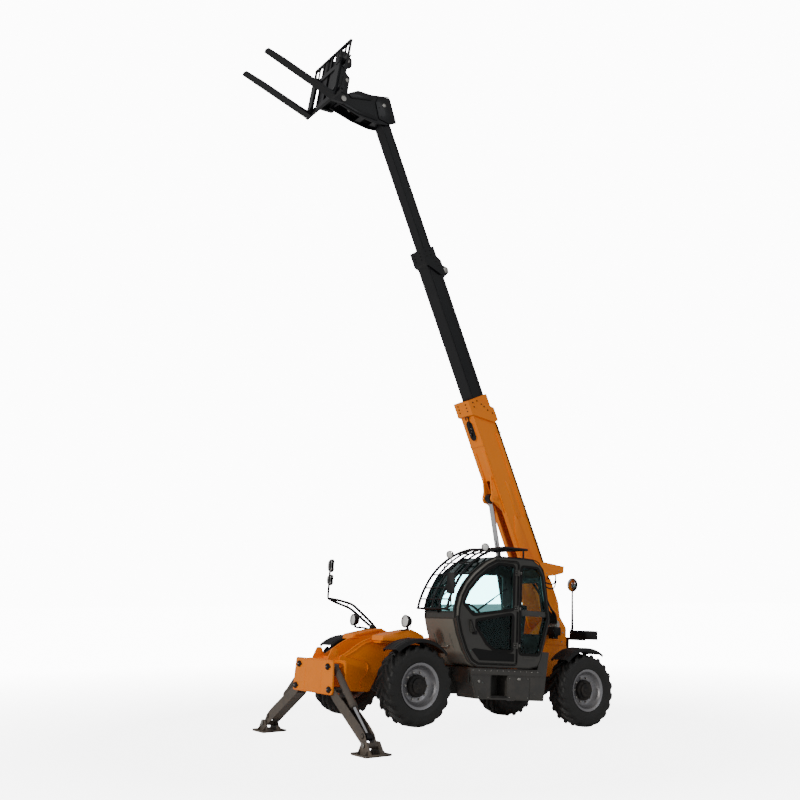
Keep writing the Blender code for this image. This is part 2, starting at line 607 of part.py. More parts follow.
def belly_box():
    outline = [(-0.86, 1.17), (-0.76, 0.40), (0.61, 0.42), (0.72, 0.70), (0.75, 0.885), (-0.62, 0.885), (-0.70, 1.17)]
    body = slab(outline, 0.62, 1.12)
    step = box((0.0, 0.86, 0.46), (0.33, 1.3, 0.80))
    tank = slab([(0.5, 0.46), (0.86, 0.46), (0.90, 0.88), (0.5, 0.88)], 0.34, 0.62 + 0.01)
    put(cut(unite(body, tank), step), "belly_box", CHARCOAL, root)


def hood():
    outline = [(-0.86, 0.62), (0.80, 0.62), (0.90, 1.05), (0.82, 1.20), (-0.75, 1.40), (-0.86, 1.30)]
    shell = slab(rounded(outline, 0.07, 3), -1.15, -0.33)
    inside = [(-0.82, 0.5), (0.75, 0.5), (0.85, 1.04), (0.78, 1.165), (-0.73, 1.357), (-0.82, 1.27)]
    inner = slab(inside, -1.11, -0.37)
    put(cut(shell, inner), "engine_hood", ORANGE, root)
    put(box((-0.55, -1.00, 0.66), (0.45, -0.45, 1.18)), "engine", CAST, root)


def lights_and_mirrors():
    for label, side in (("left", 1), ("right", -1)):
        y = side * 0.78
        foot_low, foot_high = sorted((side * 0.52, side * 0.58))
        foot = box((1.60, foot_low, 1.385), (1.66, foot_high, 1.42))
        route = [(1.63, side * 0.55, 1.40), (1.66, side * 0.66, 1.42), (1.72, y, 1.42), (1.73, y, 1.48)]
        arm = pipe(route, 0.013, 1)
        lamp = cylinder((1.70, y, 1.52), (1.78, y, 1.52), 0.07, 0.092, sides=24)
        put(unite(foot, arm, lamp), f"headlight_{label}", LAMP, root)
    route = [(1.55, -0.50, 1.412), (1.62, -1.04, 1.66), (1.75, -1.19, 1.77), (2.02, -1.22, 1.86),
             (2.03, -1.22, 2.50)]
    arm = pipe(route, 0.014, 1)
    heads = [box((1.99, -1.32, 2.08), (2.02, -1.14, 2.26)), box((1.99, -1.32, 2.30), (2.02, -1.14, 2.52))]
    base = box((1.51, -0.54, 1.4003), (1.59, -0.46, 1.415))
    put(unite(arm, *heads, base), "mirror_right", PLASTIC, root)


GUARD_Y = (0.30, 0.60)


def hose_guard():
    """An angle plate behind the cab roof: a side that faces out and a top that leans to it."""
    top = [(-0.66, 2.64), (-1.18, 2.68), (-1.65, 2.64)]
    below = [(-1.64, 2.53), (-1.42, 2.47), (-0.95, 2.40), (-0.79, 2.43)]
    side_plate = slab((top + below)[::1], GUARD_Y[1] - 0.01, GUARD_Y[1])
    roof = slab(top + [(x, z - 0.01) for x, z in top[::-1]], *GUARD_Y)
    put(unite(side_plate, roof), "hose_guard", ORANGE, root)


# ---------------------------------------------------------------- boom
def tube_stage(size, start, end):
    """A box-section boom stage, open at both ends."""
    body = box((start, -size["half"], size["under"]), (end, size["half"], size["top"]))
    wall = size["wall"]
    hollow = box((start - 0.1, -size["half"] + wall, size["under"] + wall),
                 (end + 0.1, size["half"] - wall, size["top"] - wall))
    return body, hollow


def head(size, end):
    """The thickened head of a stage: its cheeks slope back towards the top."""
    out = COLLAR
    low, high = size["under"] - out, size["top"] + out
    outline = [(end - 0.26, low), (end, low), (end, size["under"] + 0.12), (end - 0.28, high), (end - 0.52, high),
               (end - 0.52, high - 0.10)]
    return slab(outline, -size["half"] - out, size["half"] + out)


def boom_parts():
    boom = stand("boom_axis", root, PIVOT, pitch=BOOM_ANGLE)
    body, hollow = tube_stage(OUTER, 0.34, OUTER["end"])
    profile = [(-0.15, -0.16), (0.10, -0.19), (0.50, OUTER["under"]), (0.75, OUTER["under"]), (0.75, OUTER["top"]),
               (0.30, OUTER["top"]), (-0.02, 0.20), (-0.17, 0.08)]
    foot = slab(rounded(profile, 0.05, 3), -0.22, 0.22)
    wall = OUTER["wall"]
    inside_foot = box((0.36, -OUTER["half"] + wall, OUTER["under"] + wall),
                      (0.9, OUTER["half"] - wall, OUTER["top"] - wall))
    bore = cylinder((0, -0.5, 0), (0, 0.5, 0), BOOM_PIN + PIN_CLEAR, sides=24)
    lug_u, lug_v = LIFT_LUG
    lugs = []
    for low in (0.085, -0.125):
        ring = arc((lug_u, lug_v), 0.075, 200, 340, 5)
        lugs.append(slab([(lug_u - 0.30, OUTER["under"] + 0.01)] + ring + [(lug_u + 0.48, OUTER["under"] + 0.01)],
                         low, low + 0.04))
    stubs = [cylinder((lug_u, side * 0.09, lug_v), (lug_u, side * 0.15, lug_v), LIFT["pin"], sides=20)
             for side in (1, -1)]
    outer = unite(body, foot, head(OUTER, OUTER["end"]), *lugs, *stubs)
    slot = box((1.30, -0.075, OUTER["under"] - 0.1), (lug_u + 0.30, 0.075, OUTER["under"] + 0.05))
    outer = cut(outer, hollow, inside_foot, bore, slot)
    put(outer, "boom_outer", ORANGE, boom)

    mid_start = OUTER["end"] - OVERLAP
    body, hollow = tube_stage(MID, mid_start, MID["out"])
    profile = [(-0.60, 0), (-0.30, 0), (-0.42, 0.18), (-0.52, 0.18)]
    horn = slab(rounded([(MID["out"] + u, MID["top"] + v) for u, v in profile], 0.03, 2), -0.10, 0.10)
    mid = cut(unite(body, head(MID, MID["out"]), horn), hollow)
    put(mid, "boom_mid", BLACK, boom)

    inner_start = MID["out"] - OVERLAP
    tube, hollow = tube_stage(INNER, inner_start, INNER["out"] + 0.22)
    hollow.data.transform(Matrix.Translation((-0.35, 0, 0)))
    back = Matrix.Rotation(BOOM_ANGLE, 4, "Y") @ Matrix.Translation(-PIVOT)  # machine frame to boom frame
    cheeks = []
    outline = [(2.10, 10.15), (2.28, 10.05), (2.50, 10.01), (2.86, 10.04), (3.22, 10.115), (3.30, 10.13), (3.31, 10.21),
               (3.23, 10.265), (3.06, 10.40), (2.90, 10.50), (2.62, 10.52), (2.34, 10.59), (2.24, 10.55)]
    for low in (0.11, -0.14):
        cheeks.append(slab(rounded(outline, 0.03, 2), low, low + 0.03))
    web = slab([(2.19, 10.14), (2.37, 10.065), (2.53, 10.045), (2.515, 10.275), (2.23, 10.305)], -0.12, 0.12)
    tie = box((2.70, -0.121, 10.05), (2.80, 0.121, 10.10))
    pins = []
    for place, radius, reach in ((TILT_BASE, TILT["pin"], 0.15), (CARRIAGE_PIN, CARRIAGE["pin"], 0.235)):
        pins.append(cylinder(place - Vector((0, reach, 0)), place + Vector((0, reach, 0)), radius, sides=18))
    goose = unite(*cheeks, web, tie, *pins)
    goose.data.transform(back)
    put(unite(cut(tube, hollow), goose), "boom_inner", BLACK, boom)


def carriage():
    """Quick carriage: two hooked cheeks, a load rest and two forks whose blades rise a little from square."""
    lean, face, half = CARRIAGE["lean"], CARRIAGE["face"], CARRIAGE["half"]
    low, high, rail = CARRIAGE["low"], CARRIAGE["high"], CARRIAGE["rail"]
    axis = stand("carriage_axis", root, CARRIAGE_PIN, pitch=lean)
    eye = Matrix.Rotation(lean, 4, "Y") @ (TILT_EYE - CARRIAGE_PIN)
    front = face + 0.035
    profile = [(-0.05, -0.06), (front, low + 0.02), (front, high - 0.01), (0.12, high + 0.03), (-0.02, 0.80), (-0.04, 0.66),
               (0.08, 0.58), (0.04, 0.50), (-0.05, 0.44), (-0.05, 0.30), (-0.06, 0.06)]
    frame = [slab(rounded(profile, 0.03, 2), y, y + 0.06) for y in (0.165, -0.225)]
    lug = [(eye.x - 0.05, eye.z - 0.03), (face + 0.03, eye.z - 0.16), (face + 0.03, eye.z + 0.12),
           (eye.x - 0.03, eye.z + 0.04)]
    frame += [slab(lug, y, y + 0.03) for y in (0.045, -0.075)]
    for side in (1, -1):
        stub = (eye + Vector((0, side * 0.05, 0)), eye + Vector((0, side * 0.09, 0)))
        frame.append(cylinder(*stub, TILT["pin"], sides=16))
    for z, depth, tall in ((low, rail, 0.09), (0.46, rail + 0.001, 0.09), (high - 0.04, rail - 0.005, 0.04)):
        frame.append(box((face, -half, z), (face + depth, half, z + tall)))
    for y in (-half, -0.31, 0.275, half - 0.035):
        frame.append(box((face + 0.005, y, low + 0.01), (face + 0.04, y + 0.035, high - 0.01)))
    frame.append(box((face + 0.005, -0.0175, 0.50), (face + 0.04, 0.0175, high - 0.01)))
    for side in (1, -1):
        inner, outer = sorted((side * 0.05, side * 0.20))
        frame.append(box((face + 0.01, inner, low + 0.04), (face + 0.033, outer, 0.50)))
    bore = cylinder((0, -0.5, 0), (0, 0.5, 0), CARRIAGE["pin"] + PIN_CLEAR, sides=20)
    put(cut(unite(*frame), bore), "carriage_frame", BLACK, axis)
    base, thick, heel = face + rail + 0.001 + GAP, FORK["thick"], FORK["heel"]
    along = Vector((math.cos(FORK["rise"]), math.sin(FORK["rise"])))
    up = Vector((-along.y, along.x))
    root_point = Vector((base + 0.02, heel))
    tip = root_point + along * FORK["length"]
    crook = root_point + along * (thick + 0.02) + up * thick
    outline = [(base, heel + 0.04), tuple(root_point), tuple(tip), tuple(tip + up * 0.02),
               tuple(tip - along * 0.3 + up * thick * 0.8), tuple(crook), (base + thick, crook.y + 0.02),
               (base + thick, 0.54), (base, 0.54)]
    for label, side in (("left", 1), ("right", -1)):
        y = side * FORK["spread"]
        put(slab(outline, y - FORK["width"] / 2, y + FORK["width"] / 2), f"fork_{label}", BLACK, axis)


def cylinder_pair(prefix, base, tip, size, holder, across="y", half=0.055, thick_eye=1.9):
    """A hydraulic cylinder between two pins: barrel on its base pin, rod with its eye at the tip."""
    base, tip = Vector(base), Vector(tip)
    along = (tip - base).normalized()
    cross = Vector((0, 1, 0)) if across == "y" else Vector((1, 0, 0))
    length = size["closed"]
    barrel_end = base + along * (length - 0.02 - size["rod"] * 1.5)
    bore = size["rod"] + PIN_CLEAR
    pin = size["pin"]
    tube = cylinder(base + along * (pin * 1.6), barrel_end, size["barrel"], sides=18)
    boss = cylinder(base - cross * half, base + cross * half, pin * thick_eye, sides=24)
    tube = unite(tube, boss)
    bottom = size["barrel"] * 0.3 + pin * thick_eye + 0.02
    tube = cut(tube, cylinder(base + along * bottom, barrel_end + along * 0.1, bore, sides=20),
               cylinder(base - cross * 0.5, base + cross * 0.5, pin + PIN_CLEAR, sides=20))
    inside = min(0.12, length * 0.15)
    rod_start = barrel_end - along * (inside + 0.05)
    rod = cylinder(rod_start, tip - along * (pin * 1.2), size["rod"], sides=20)
    eye = cylinder(tip - cross * half, tip + cross * half, pin * thick_eye, sides=24)
    rod = cut(unite(rod, eye), cylinder(tip - cross * 0.5, tip + cross * 0.5, pin + PIN_CLEAR, sides=20))
    put(tube, f"{prefix}_barrel", BLACK, holder, base)
    put(rod, f"{prefix}_rod", CHROME, holder, tip)


def boom_point(u, v):
    return PIVOT + Vector((math.cos(BOOM_ANGLE) * u - math.sin(BOOM_ANGLE) * v, 0,
                           math.sin(BOOM_ANGLE) * u + math.cos(BOOM_ANGLE) * v))


# ---------------------------------------------------------------- stabilisers
def ground_point(x, y, height):
    """A point at a height over the ground, in the machine's frame, at machine x."""
    rise = height - TYRE_RADIUS - (x + AXLE_X) * math.sin(NOSE_UP)
    return Vector((x, y, TYRE_RADIUS + rise / math.cos(NOSE_UP)))


def stabiliser(label, side):
    foot_pin = ground_point(LEG_PLANE, FOOT_Y, FOOT_HEIGHT)
    pin = Vector((LEG_PLANE, LEG_PIN[0], LEG_PIN[1]))
    reach = foot_pin - pin
    length = math.hypot(reach.y, reach.z)
    angle = math.atan2(reach.z, reach.y)
    turn = Matrix.Rotation(angle, 4, "X")
    mirror = Matrix.Rotation(0.0 if side > 0 else math.pi, 4, "Z")
    centre = Matrix.Translation((LEG_PLANE, 0, 0)) @ mirror @ Matrix.Translation((-LEG_PLANE, 0, 0))

    def place(shape, origin):
        """From the left-hand layout to this side."""
        shape.data.transform(centre)
        return tuple(centre @ Vector(origin))

    half = LEG["width"] / 2
    depth, wall = LEG["depth"], LEG["wall"]
    deep, nose = depth / 2, length + 0.045
    side_plate = [(-0.05, -0.05), (0.10, -deep - 0.01), (length - 0.05, -deep + 0.02), (nose, -0.03), (nose, 0.03),
                  (length - 0.20, deep + 0.02), (0.35, deep), (0.0, 0.055), (-0.045, 0.03)]
    walls = [slab(side_plate, x, x + wall, "yz") for x in (-half, half - wall)]
    stop = length - LEG["eye_back"] - LEG["eye_room"]
    under = -deep
    floor = slab([(0.09, under - 0.005), (stop, under + 0.015), (stop, under + 0.027), (0.09, under + 0.008)],
                 -half + 0.004, half - 0.004, "yz")
    eye_at = Vector((0, length - LEG["eye_back"], LEG["eye_up"]))
    stubs = []
    for sign in (1, -1):
        start, end = Vector((sign * (half - wall + 0.002), 0, 0)), Vector((sign * (half + 0.015), 0, 0))
        stubs.append(cylinder(eye_at + start, eye_at + end, LEG["pin"], sides=16))
    sleeve = cylinder((-half + 0.002, 0, 0), (half - 0.002, 0, 0), 0.044, sides=20)
    end_sleeve = cylinder((-half + 0.002, length, 0), (half - 0.002, length, 0), 0.040, sides=20)
    leg = unite(walls[0], walls[1], floor, *stubs, sleeve, end_sleeve)
    leg = cut(leg, cylinder((-1, 0, 0), (1, 0, 0), LEG["pin"] + PIN_CLEAR, sides=20),
              cylinder((-1, length, 0), (1, length, 0), LEG["pin"] + PIN_CLEAR, sides=20))
    leg.data.transform(Matrix.Translation(pin) @ turn)
    origin = place(leg, pin)
    put(leg, f"stabiliser_{label}_leg", TAUPE, root, origin)

    base = Vector((LEG_PLANE, LEG_CYLINDER_PIN[0], LEG_CYLINDER_PIN[1]))
    tip = pin + (turn @ eye_at)
    size = dict(LEG_CYLINDER, pin=LEG["pin"])
    cylinder_pair(f"stabiliser_{label}_cylinder", centre @ base, centre @ tip, size, root, across="x", half=0.045)

    # foot: two ears on the leg's pin, and a sole that lies flat on the ground
    flat = Matrix.Rotation(NOSE_UP, 4, "Y")
    thick = 0.014
    bar = cylinder((-half - CLEAR - 0.04, 0, 0), (half + CLEAR + 0.04, 0, 0), LEG["pin"], sides=16)
    ears = []
    for x in (half + CLEAR, -half - CLEAR - thick):
        bottom = (thick / 2 - FOOT_HEIGHT - (x + thick / 2) * math.sin(NOSE_UP)) / math.cos(NOSE_UP)
        outline = rounded([(-0.14, bottom), (0.14, bottom), (0.05, 0.05), (-0.05, 0.05)], [0, 0, 0.03, 0.03], 3)
        ears.append(slab(outline, x, x + thick, "yz"))
    sole = slab(rounded([(-0.205, -0.20), (0.205, -0.20), (0.205, 0.20), (-0.205, 0.20)], 0.02, 2),
                -FOOT_HEIGHT, thick - FOOT_HEIGHT, "xy")
    sole.data.transform(flat)
    foot = unite(sole, *ears, bar)
    origin = (foot_pin.x, side * foot_pin.y, foot_pin.z)
    foot.data.transform(Matrix.Translation(origin))
    put(foot, f"stabiliser_{label}_foot", TAUPE, root, origin)


chassis()
stabiliser_box()
counterweight()
rear_light_bar()
running_gear()
cab()
guard()
cab_inside()
belly_box()
hood()
lights_and_mirrors()
hose_guard()
boom_parts()
carriage()
cylinder_pair("lift_cylinder", LIFT_BASE, boom_point(*LIFT_LUG), LIFT, root, half=0.06)
cylinder_pair("tilt_cylinder", TILT_BASE, TILT_EYE, TILT, root, half=0.04)
for label, side in (("left", 1), ("right", -1)):
    stabiliser(label, side)

# ---------------------------------------------------------------- standing on the ground
root.rotation_euler = (0, -NOSE_UP, 0)
bpy.context.view_layer.update()
solids = [shape for shape in parts.objects if shape.type == "MESH"]
corners = [shape.matrix_world @ vertex.co for shape in solids for vertex in shape.data.vertices]
low = Vector(min(corner[axis] for corner in corners) for axis in range(3))
high = Vector(max(corner[axis] for corner in corners) for axis in range(3))
root.location = (-(low.x + high.x) / 2, -(low.y + high.y) / 2, -low.z)
bpy.context.view_layer.update()
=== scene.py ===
import json
import math
import bmesh
import bpy
import numpy as np
from mathutils import Matrix, Vector


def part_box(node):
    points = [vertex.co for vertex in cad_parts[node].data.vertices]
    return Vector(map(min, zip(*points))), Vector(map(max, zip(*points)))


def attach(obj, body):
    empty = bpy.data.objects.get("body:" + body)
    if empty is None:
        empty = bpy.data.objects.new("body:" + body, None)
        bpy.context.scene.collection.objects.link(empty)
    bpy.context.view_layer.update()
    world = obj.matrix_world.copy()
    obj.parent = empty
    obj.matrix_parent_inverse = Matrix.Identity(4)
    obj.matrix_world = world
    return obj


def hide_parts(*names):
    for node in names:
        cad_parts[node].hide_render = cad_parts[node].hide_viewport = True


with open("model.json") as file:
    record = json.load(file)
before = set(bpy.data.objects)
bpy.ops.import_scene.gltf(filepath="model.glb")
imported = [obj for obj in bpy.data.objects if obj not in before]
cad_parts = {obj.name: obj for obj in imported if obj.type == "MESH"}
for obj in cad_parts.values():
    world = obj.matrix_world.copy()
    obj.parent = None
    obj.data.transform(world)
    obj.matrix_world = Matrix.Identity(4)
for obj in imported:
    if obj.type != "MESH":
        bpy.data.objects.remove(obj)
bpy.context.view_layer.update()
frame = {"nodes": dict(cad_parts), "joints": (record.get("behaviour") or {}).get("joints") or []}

joints = {joint["name"]: joint for joint in frame["joints"]}
print("frame loaded:", len(frame["nodes"]), "nodes")

# ---- the machine stands nose-up, so every size below is in its own level frame: x forward, y left, z up
machine = {"wheelbase": 3.4, "tyreRadius": 0.59, "forkLean": 6.5}


def jointPlace(name):
    return np.array(joints[name]["pos_m"], float)


def unit(vector):
    vector = np.asarray(vector, float)
    return vector / np.linalg.norm(vector)


def frameAt(origin, forward, side):
    # a 4 x 4 matrix with x along forward, y along side made square to it, z upwards
    x = unit(forward)
    z = unit(np.cross(x, side))
    made = np.eye(4)
    made[:3, :4] = np.stack([x, np.cross(z, x), z, origin], 1)
    return made


def withOrigin(matrix, origin):
    made = matrix.copy()
    made[:3, 3] = origin
    return made


rearAxle = (jointPlace("rear_left_roll") + jointPlace("rear_right_roll")) / 2
frontAxle = (jointPlace("front_left_roll") + jointPlace("front_right_roll")) / 2
levelFrame = frameAt((rearAxle + frontAxle) / 2, frontAxle - rearAxle, (0, 1, 0))
levelFrame[:3, 3] -= levelFrame[:3, 2] * machine["tyreRadius"]
boomFrame = frameAt(jointPlace("boom_lift"), joints["boom_mid_slide"]["axis"], (0, 1, 0))
forkLean = math.radians(machine["forkLean"])
leanTurn = np.eye(4)
leanTurn[[0, 0, 2, 2], [0, 2, 0, 2]] = [math.cos(forkLean), -math.sin(forkLean), math.sin(forkLean),
                                        math.cos(forkLean)]
carriageFrame = withOrigin(levelFrame @ leanTurn, jointPlace("carriage_tilt"))

# ---- shapes: each returns (points, quads, caps); a piece joins many of them
def loft(rings, closed=True, capped=True):
    # rings of points, each joined to the next by quads, with a flat cap on the first and the last
    rings = np.asarray(rings, float)
    count, around = rings.shape[:2]
    low = np.arange(count - 1)[:, None] * around
    here = np.arange(around if closed else around - 1)[None, :]
    after = (here + 1) % around
    quads = np.stack([low + here, low + after, low + around + after, low + around + here], -1).reshape(-1, 4)
    last = (count - 1) * around
    caps = [list(range(around))[::-1], list(range(last, last + around))] if capped else []
    return rings.reshape(-1, 3), quads, caps


def shrink(ring, distance):
    # every side of a flat ring moved in by a distance, corners kept on the mitre
    forward = np.roll(ring, -1, 0) - ring
    forward /= np.maximum(np.linalg.norm(forward, axis=1, keepdims=True), 1e-9)
    back = np.roll(forward, 1, 0)
    inward = np.stack([-forward[:, 1] - back[:, 1], forward[:, 0] + back[:, 0]], 1)
    size = np.maximum((inward * inward).sum(1, keepdims=True) / 2, 0.35)
    return ring + inward * distance / size


def anticlockwise(ring):
    ring = np.asarray(ring, float)
    after = np.roll(ring, -1, 0)
    area = (ring[:, 0] * after[:, 1] - ring[:, 1] * after[:, 0]).sum()
    return ring if area > 0 else ring[::-1]


def distinct(ring):
    # the ring without points that repeat
    return ring[np.linalg.norm(ring - np.roll(ring, 1, 0), axis=1) > 1e-6]


def roundCorners(points, radius, steps=3):
    # each corner becomes a quadratic curve that starts and ends a fillet's length from it
    here = anticlockwise(points)
    radius = np.broadcast_to(np.asarray(radius, float), (len(here),))[:, None]
    before, after = np.roll(here, 1, 0) - here, np.roll(here, -1, 0) - here
    sizeBefore = np.linalg.norm(before, axis=1, keepdims=True)
    sizeAfter = np.linalg.norm(after, axis=1, keepdims=True)
    turn = np.clip((before * after).sum(1, keepdims=True) / (sizeBefore * sizeAfter), -0.9999, 0.9999)
    cut = np.minimum(radius / np.tan(np.arccos(turn) / 2), 0.45 * np.minimum(sizeBefore, sizeAfter))
    start, end = here + before / sizeBefore * cut, here + after / sizeAfter * cut
    t = np.linspace(0, 1, steps + 1)[None, :, None]
    curve = (1 - t) ** 2 * start[:, None] + 2 * t * (1 - t) * here[:, None] + t ** 2 * end[:, None]
    return distinct(curve.reshape(-1, 2))


planes = {"xz": (0, 2, 1), "yz": (1, 2, 0), "xy": (0, 1, 2)}


def rectangle(low, high):
    # four corners from two opposite ones
    return [(low[0], low[1]), (high[0], low[1]), (high[0], high[1]), (low[0], high[1])]


def slab(outline, low, high, plane="xz", bevel=0.006):
    # an outline carried along the third axis, its two rims rounded by quarter circles
    ring = distinct(anticlockwise(outline))
    low, high = min(low, high), max(low, high)
    bevel = min(bevel, 0.45 * (high - low))
    angle = np.radians([0, 45, 90])
    inward = list(bevel * (1 - np.sin(angle)))
    rise = list(bevel * (1 - np.cos(angle)))
    levels = [low + step for step in rise] + [high - step for step in rise[::-1]]
    first, second, third = planes[plane]
    rings = np.zeros((len(levels), len(ring), 3))
    for index, (inset, level) in enumerate(zip(inward + inward[::-1], levels)):
        moved = shrink(ring, inset)
        rings[index, :, first], rings[index, :,
                                      second], rings[index, :, third] = moved[:, 0], moved[:, 1], level
    return loft(rings)


def block(low, high, bevel=0.006):
    # a box with rounded edges between two corners
    low, high = np.minimum(low, high), np.maximum(low, high)
    corner = min(bevel * 1.5, 0.3 * min(high[0] - low[0], high[2] - low[2]))
    outline = roundCorners(rectangle(low[::2], high[::2]), corner, 2)
    return slab(outline, low[1], high[1], "xz", bevel)


def across(direction):
    # two unit vectors square to a direction
    direction = unit(direction)
    other = np.array([0.0, 0.0, 1.0]) if abs(direction[2]) < 0.9 else np.array([1.0, 0.0, 0.0])
    first = unit(np.cross(other, direction))
    return first, np.cross(direction, first)


def lathe(profile, centre, axis, steps=40):
    # a (radius, height) profile turned about an axis
    first, second = across(axis)
    angle = np.linspace(0, 2 * math.pi, steps, endpoint=False)
    circle = np.cos(angle)[:, None] * first + np.sin(angle)[:, None] * second
    profile = np.asarray(profile, float)
    rings = np.asarray(centre) + profile[:, 1][:, None,
                                               None] * unit(axis) + profile[:, 0][:, None, None] * circle
    return loft(rings)


def washer(centre, axis, inner, outer, thick, steps=24):
    # a flat ring that stands on a face
    return lathe([(inner, 0.0), (outer, 0.0), (outer, thick), (inner, thick)], centre, axis, steps)


def pinHead(centre, axis, radius, shoulder, top, height, steps=24, hole=0.01):
    # a round head whose edge is turned down from the radius to the top
    return lathe([(hole, 0.0), (radius, 0.0), (radius, shoulder), (top, height), (hole, height)], centre,
                 axis, steps)


def rod(start, end, radius, steps=20, edge=0.003, radiusEnd=None):
    # a round bar with chamfered ends
    start, end = np.asarray(start, float), np.asarray(end, float)
    length = np.linalg.norm(end - start)
    last = radius if radiusEnd is None else radiusEnd
    profile = [(radius - edge, 0), (radius, edge), (last, length - edge), (last - edge, length)]
    return lathe(profile, start, end - start, steps)


def smoothPath(points, steps=6):
    # a Catmull-Rom curve through the points
    points = np.asarray(points, float)
    padded = np.vstack([2 * points[0] - points[1], points, 2 * points[-1] - points[-2]])
    t = np.linspace(0, 1, steps, endpoint=False)[None, :, None]
    a, b, c, d = (padded[k:len(padded) - 3 + k][:, None] for k in range(4))
    curve = 0.5 * (2 * b + (c - a) * t + (2 * a - 5 * b + 4 * c - d) * t ** 2
                   + (3 * b - a - 3 * c + d) * t ** 3)
    return np.vstack([curve.reshape(-1, 3), points[-1:]])


def tube(points, radius, around=10, smooth=6):
    # a circle carried along a curve, turned as little as possible from ring to ring
    path = smoothPath(points, smooth) if smooth else np.asarray(points, float)
    along = np.gradient(path, axis=0)
    along /= np.linalg.norm(along, axis=1, keepdims=True)
    side = across(along[0])[0]
    angle = np.linspace(0, 2 * math.pi, around, endpoint=False)[:, None]
    rings = np.zeros((len(path), around, 3))
    for index, (place, direction) in enumerate(zip(path, along)):
        side = unit(side - direction * side.dot(direction))
        rings[index] = place + radius * (np.cos(angle) * side + np.sin(angle) * np.cross(direction, side))
    return loft(rings)


def bolts(places, normal, radius=0.014, height=0.01, sides=6):
    # one bolt head, copied to every place at once
    profile = [(radius, -0.004), (radius, height * 0.8), (radius * 0.85, height)]
    points, quads, caps = lathe(profile, (0, 0, 0), normal, sides)
    places = np.asarray(places, float)
    shift = np.arange(len(places))[:, None, None] * len(points)
    allQuads = (quads[None] + shift).reshape(-1, 4)
    allCaps = [[index + step * len(points) for index in cap] for step in range(len(places)) for cap in caps]
    return (places[:, None] + points[None]).reshape(-1, 3), allQuads, allCaps


def moved(shape, matrix):
    return shape[0] @ matrix[:3, :3].T + matrix[:3, 3], shape[1], shape[2]


def mirrored(shape):
    return shape[0] * (1, -1, 1), shape[1], shape[2]


def bothSides(*shapes):
    return [*shapes, *(mirrored(shape) for shape in shapes)]


def piece(name, body, groups, matrix=levelFrame, replaces=(), sharp=38):
    # one object from {material: [shapes]}, its place in its mesh, riding on a body
    points, faces, slots, count = [], [], [], 0
    for index, shapes in enumerate(groups.values()):
        for shape in shapes:
            placed = moved(shape, matrix)
            points.append(placed[0])
            mine = (placed[1] + count).tolist() + [[corner + count for corner in cap] for cap in placed[2]]
            faces += mine
            slots += [index] * len(mine)
            count += len(placed[0])
    data = bpy.data.meshes.new(name)
    data.from_pydata(np.vstack(points), [], faces)
    data.polygons.foreach_set("material_index", slots)
    for material in groups:
        data.materials.append(material)
    work = bmesh.new()
    work.from_mesh(data)
    bmesh.ops.dissolve_degenerate(work, dist=1e-6, edges=work.edges)
    bmesh.ops.recalc_face_normals(work, faces=work.faces)
    work.to_mesh(data)
    work.free()
    data.shade_smooth()
    data.set_sharp_from_angle(angle=math.radians(sharp))
    made = bpy.data.objects.new(name, data)
    bpy.context.scene.collection.objects.link(made)
    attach(made, body)
    if replaces:
        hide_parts(*replaces)
    return made


# ---- materials
def linear(text):
    # an sRGB hex colour as linear light
    value = np.array([int(text[index:index + 2], 16) for index in (1, 3, 5)]) / 255
    return (*np.where(value <= 0.04045, value / 12.92, ((value + 0.055) / 1.055) ** 2.4), 1.0)


def add(tree, kind, inputs=None, **settings):
    made = tree.nodes.new(kind)
    for key, value in settings.items():
        setattr(made, key, value)
    for key, value in (inputs or {}).items():
        if isinstance(value, bpy.types.NodeSocket):
            tree.links.new(value, made.inputs[key])
        else:
            made.inputs[key].default_value = value
    return made


def newMaterial(name):
    # an empty material, its tree and its place socket
    made = bpy.data.materials.new(name)
    made.use_nodes = True
    made.node_tree.nodes.clear()
    return made, made.node_tree, add(made.node_tree, "ShaderNodeTexCoord").outputs["Object"]


def finishMaterial(tree, **inputs):
    shader = add(tree, "ShaderNodeBsdfPrincipled", {key.replace("_", " "): value
                                                    for key, value in inputs.items()})
    add(tree, "ShaderNodeOutputMaterial", {"Surface": shader.outputs[0]})
    return shader


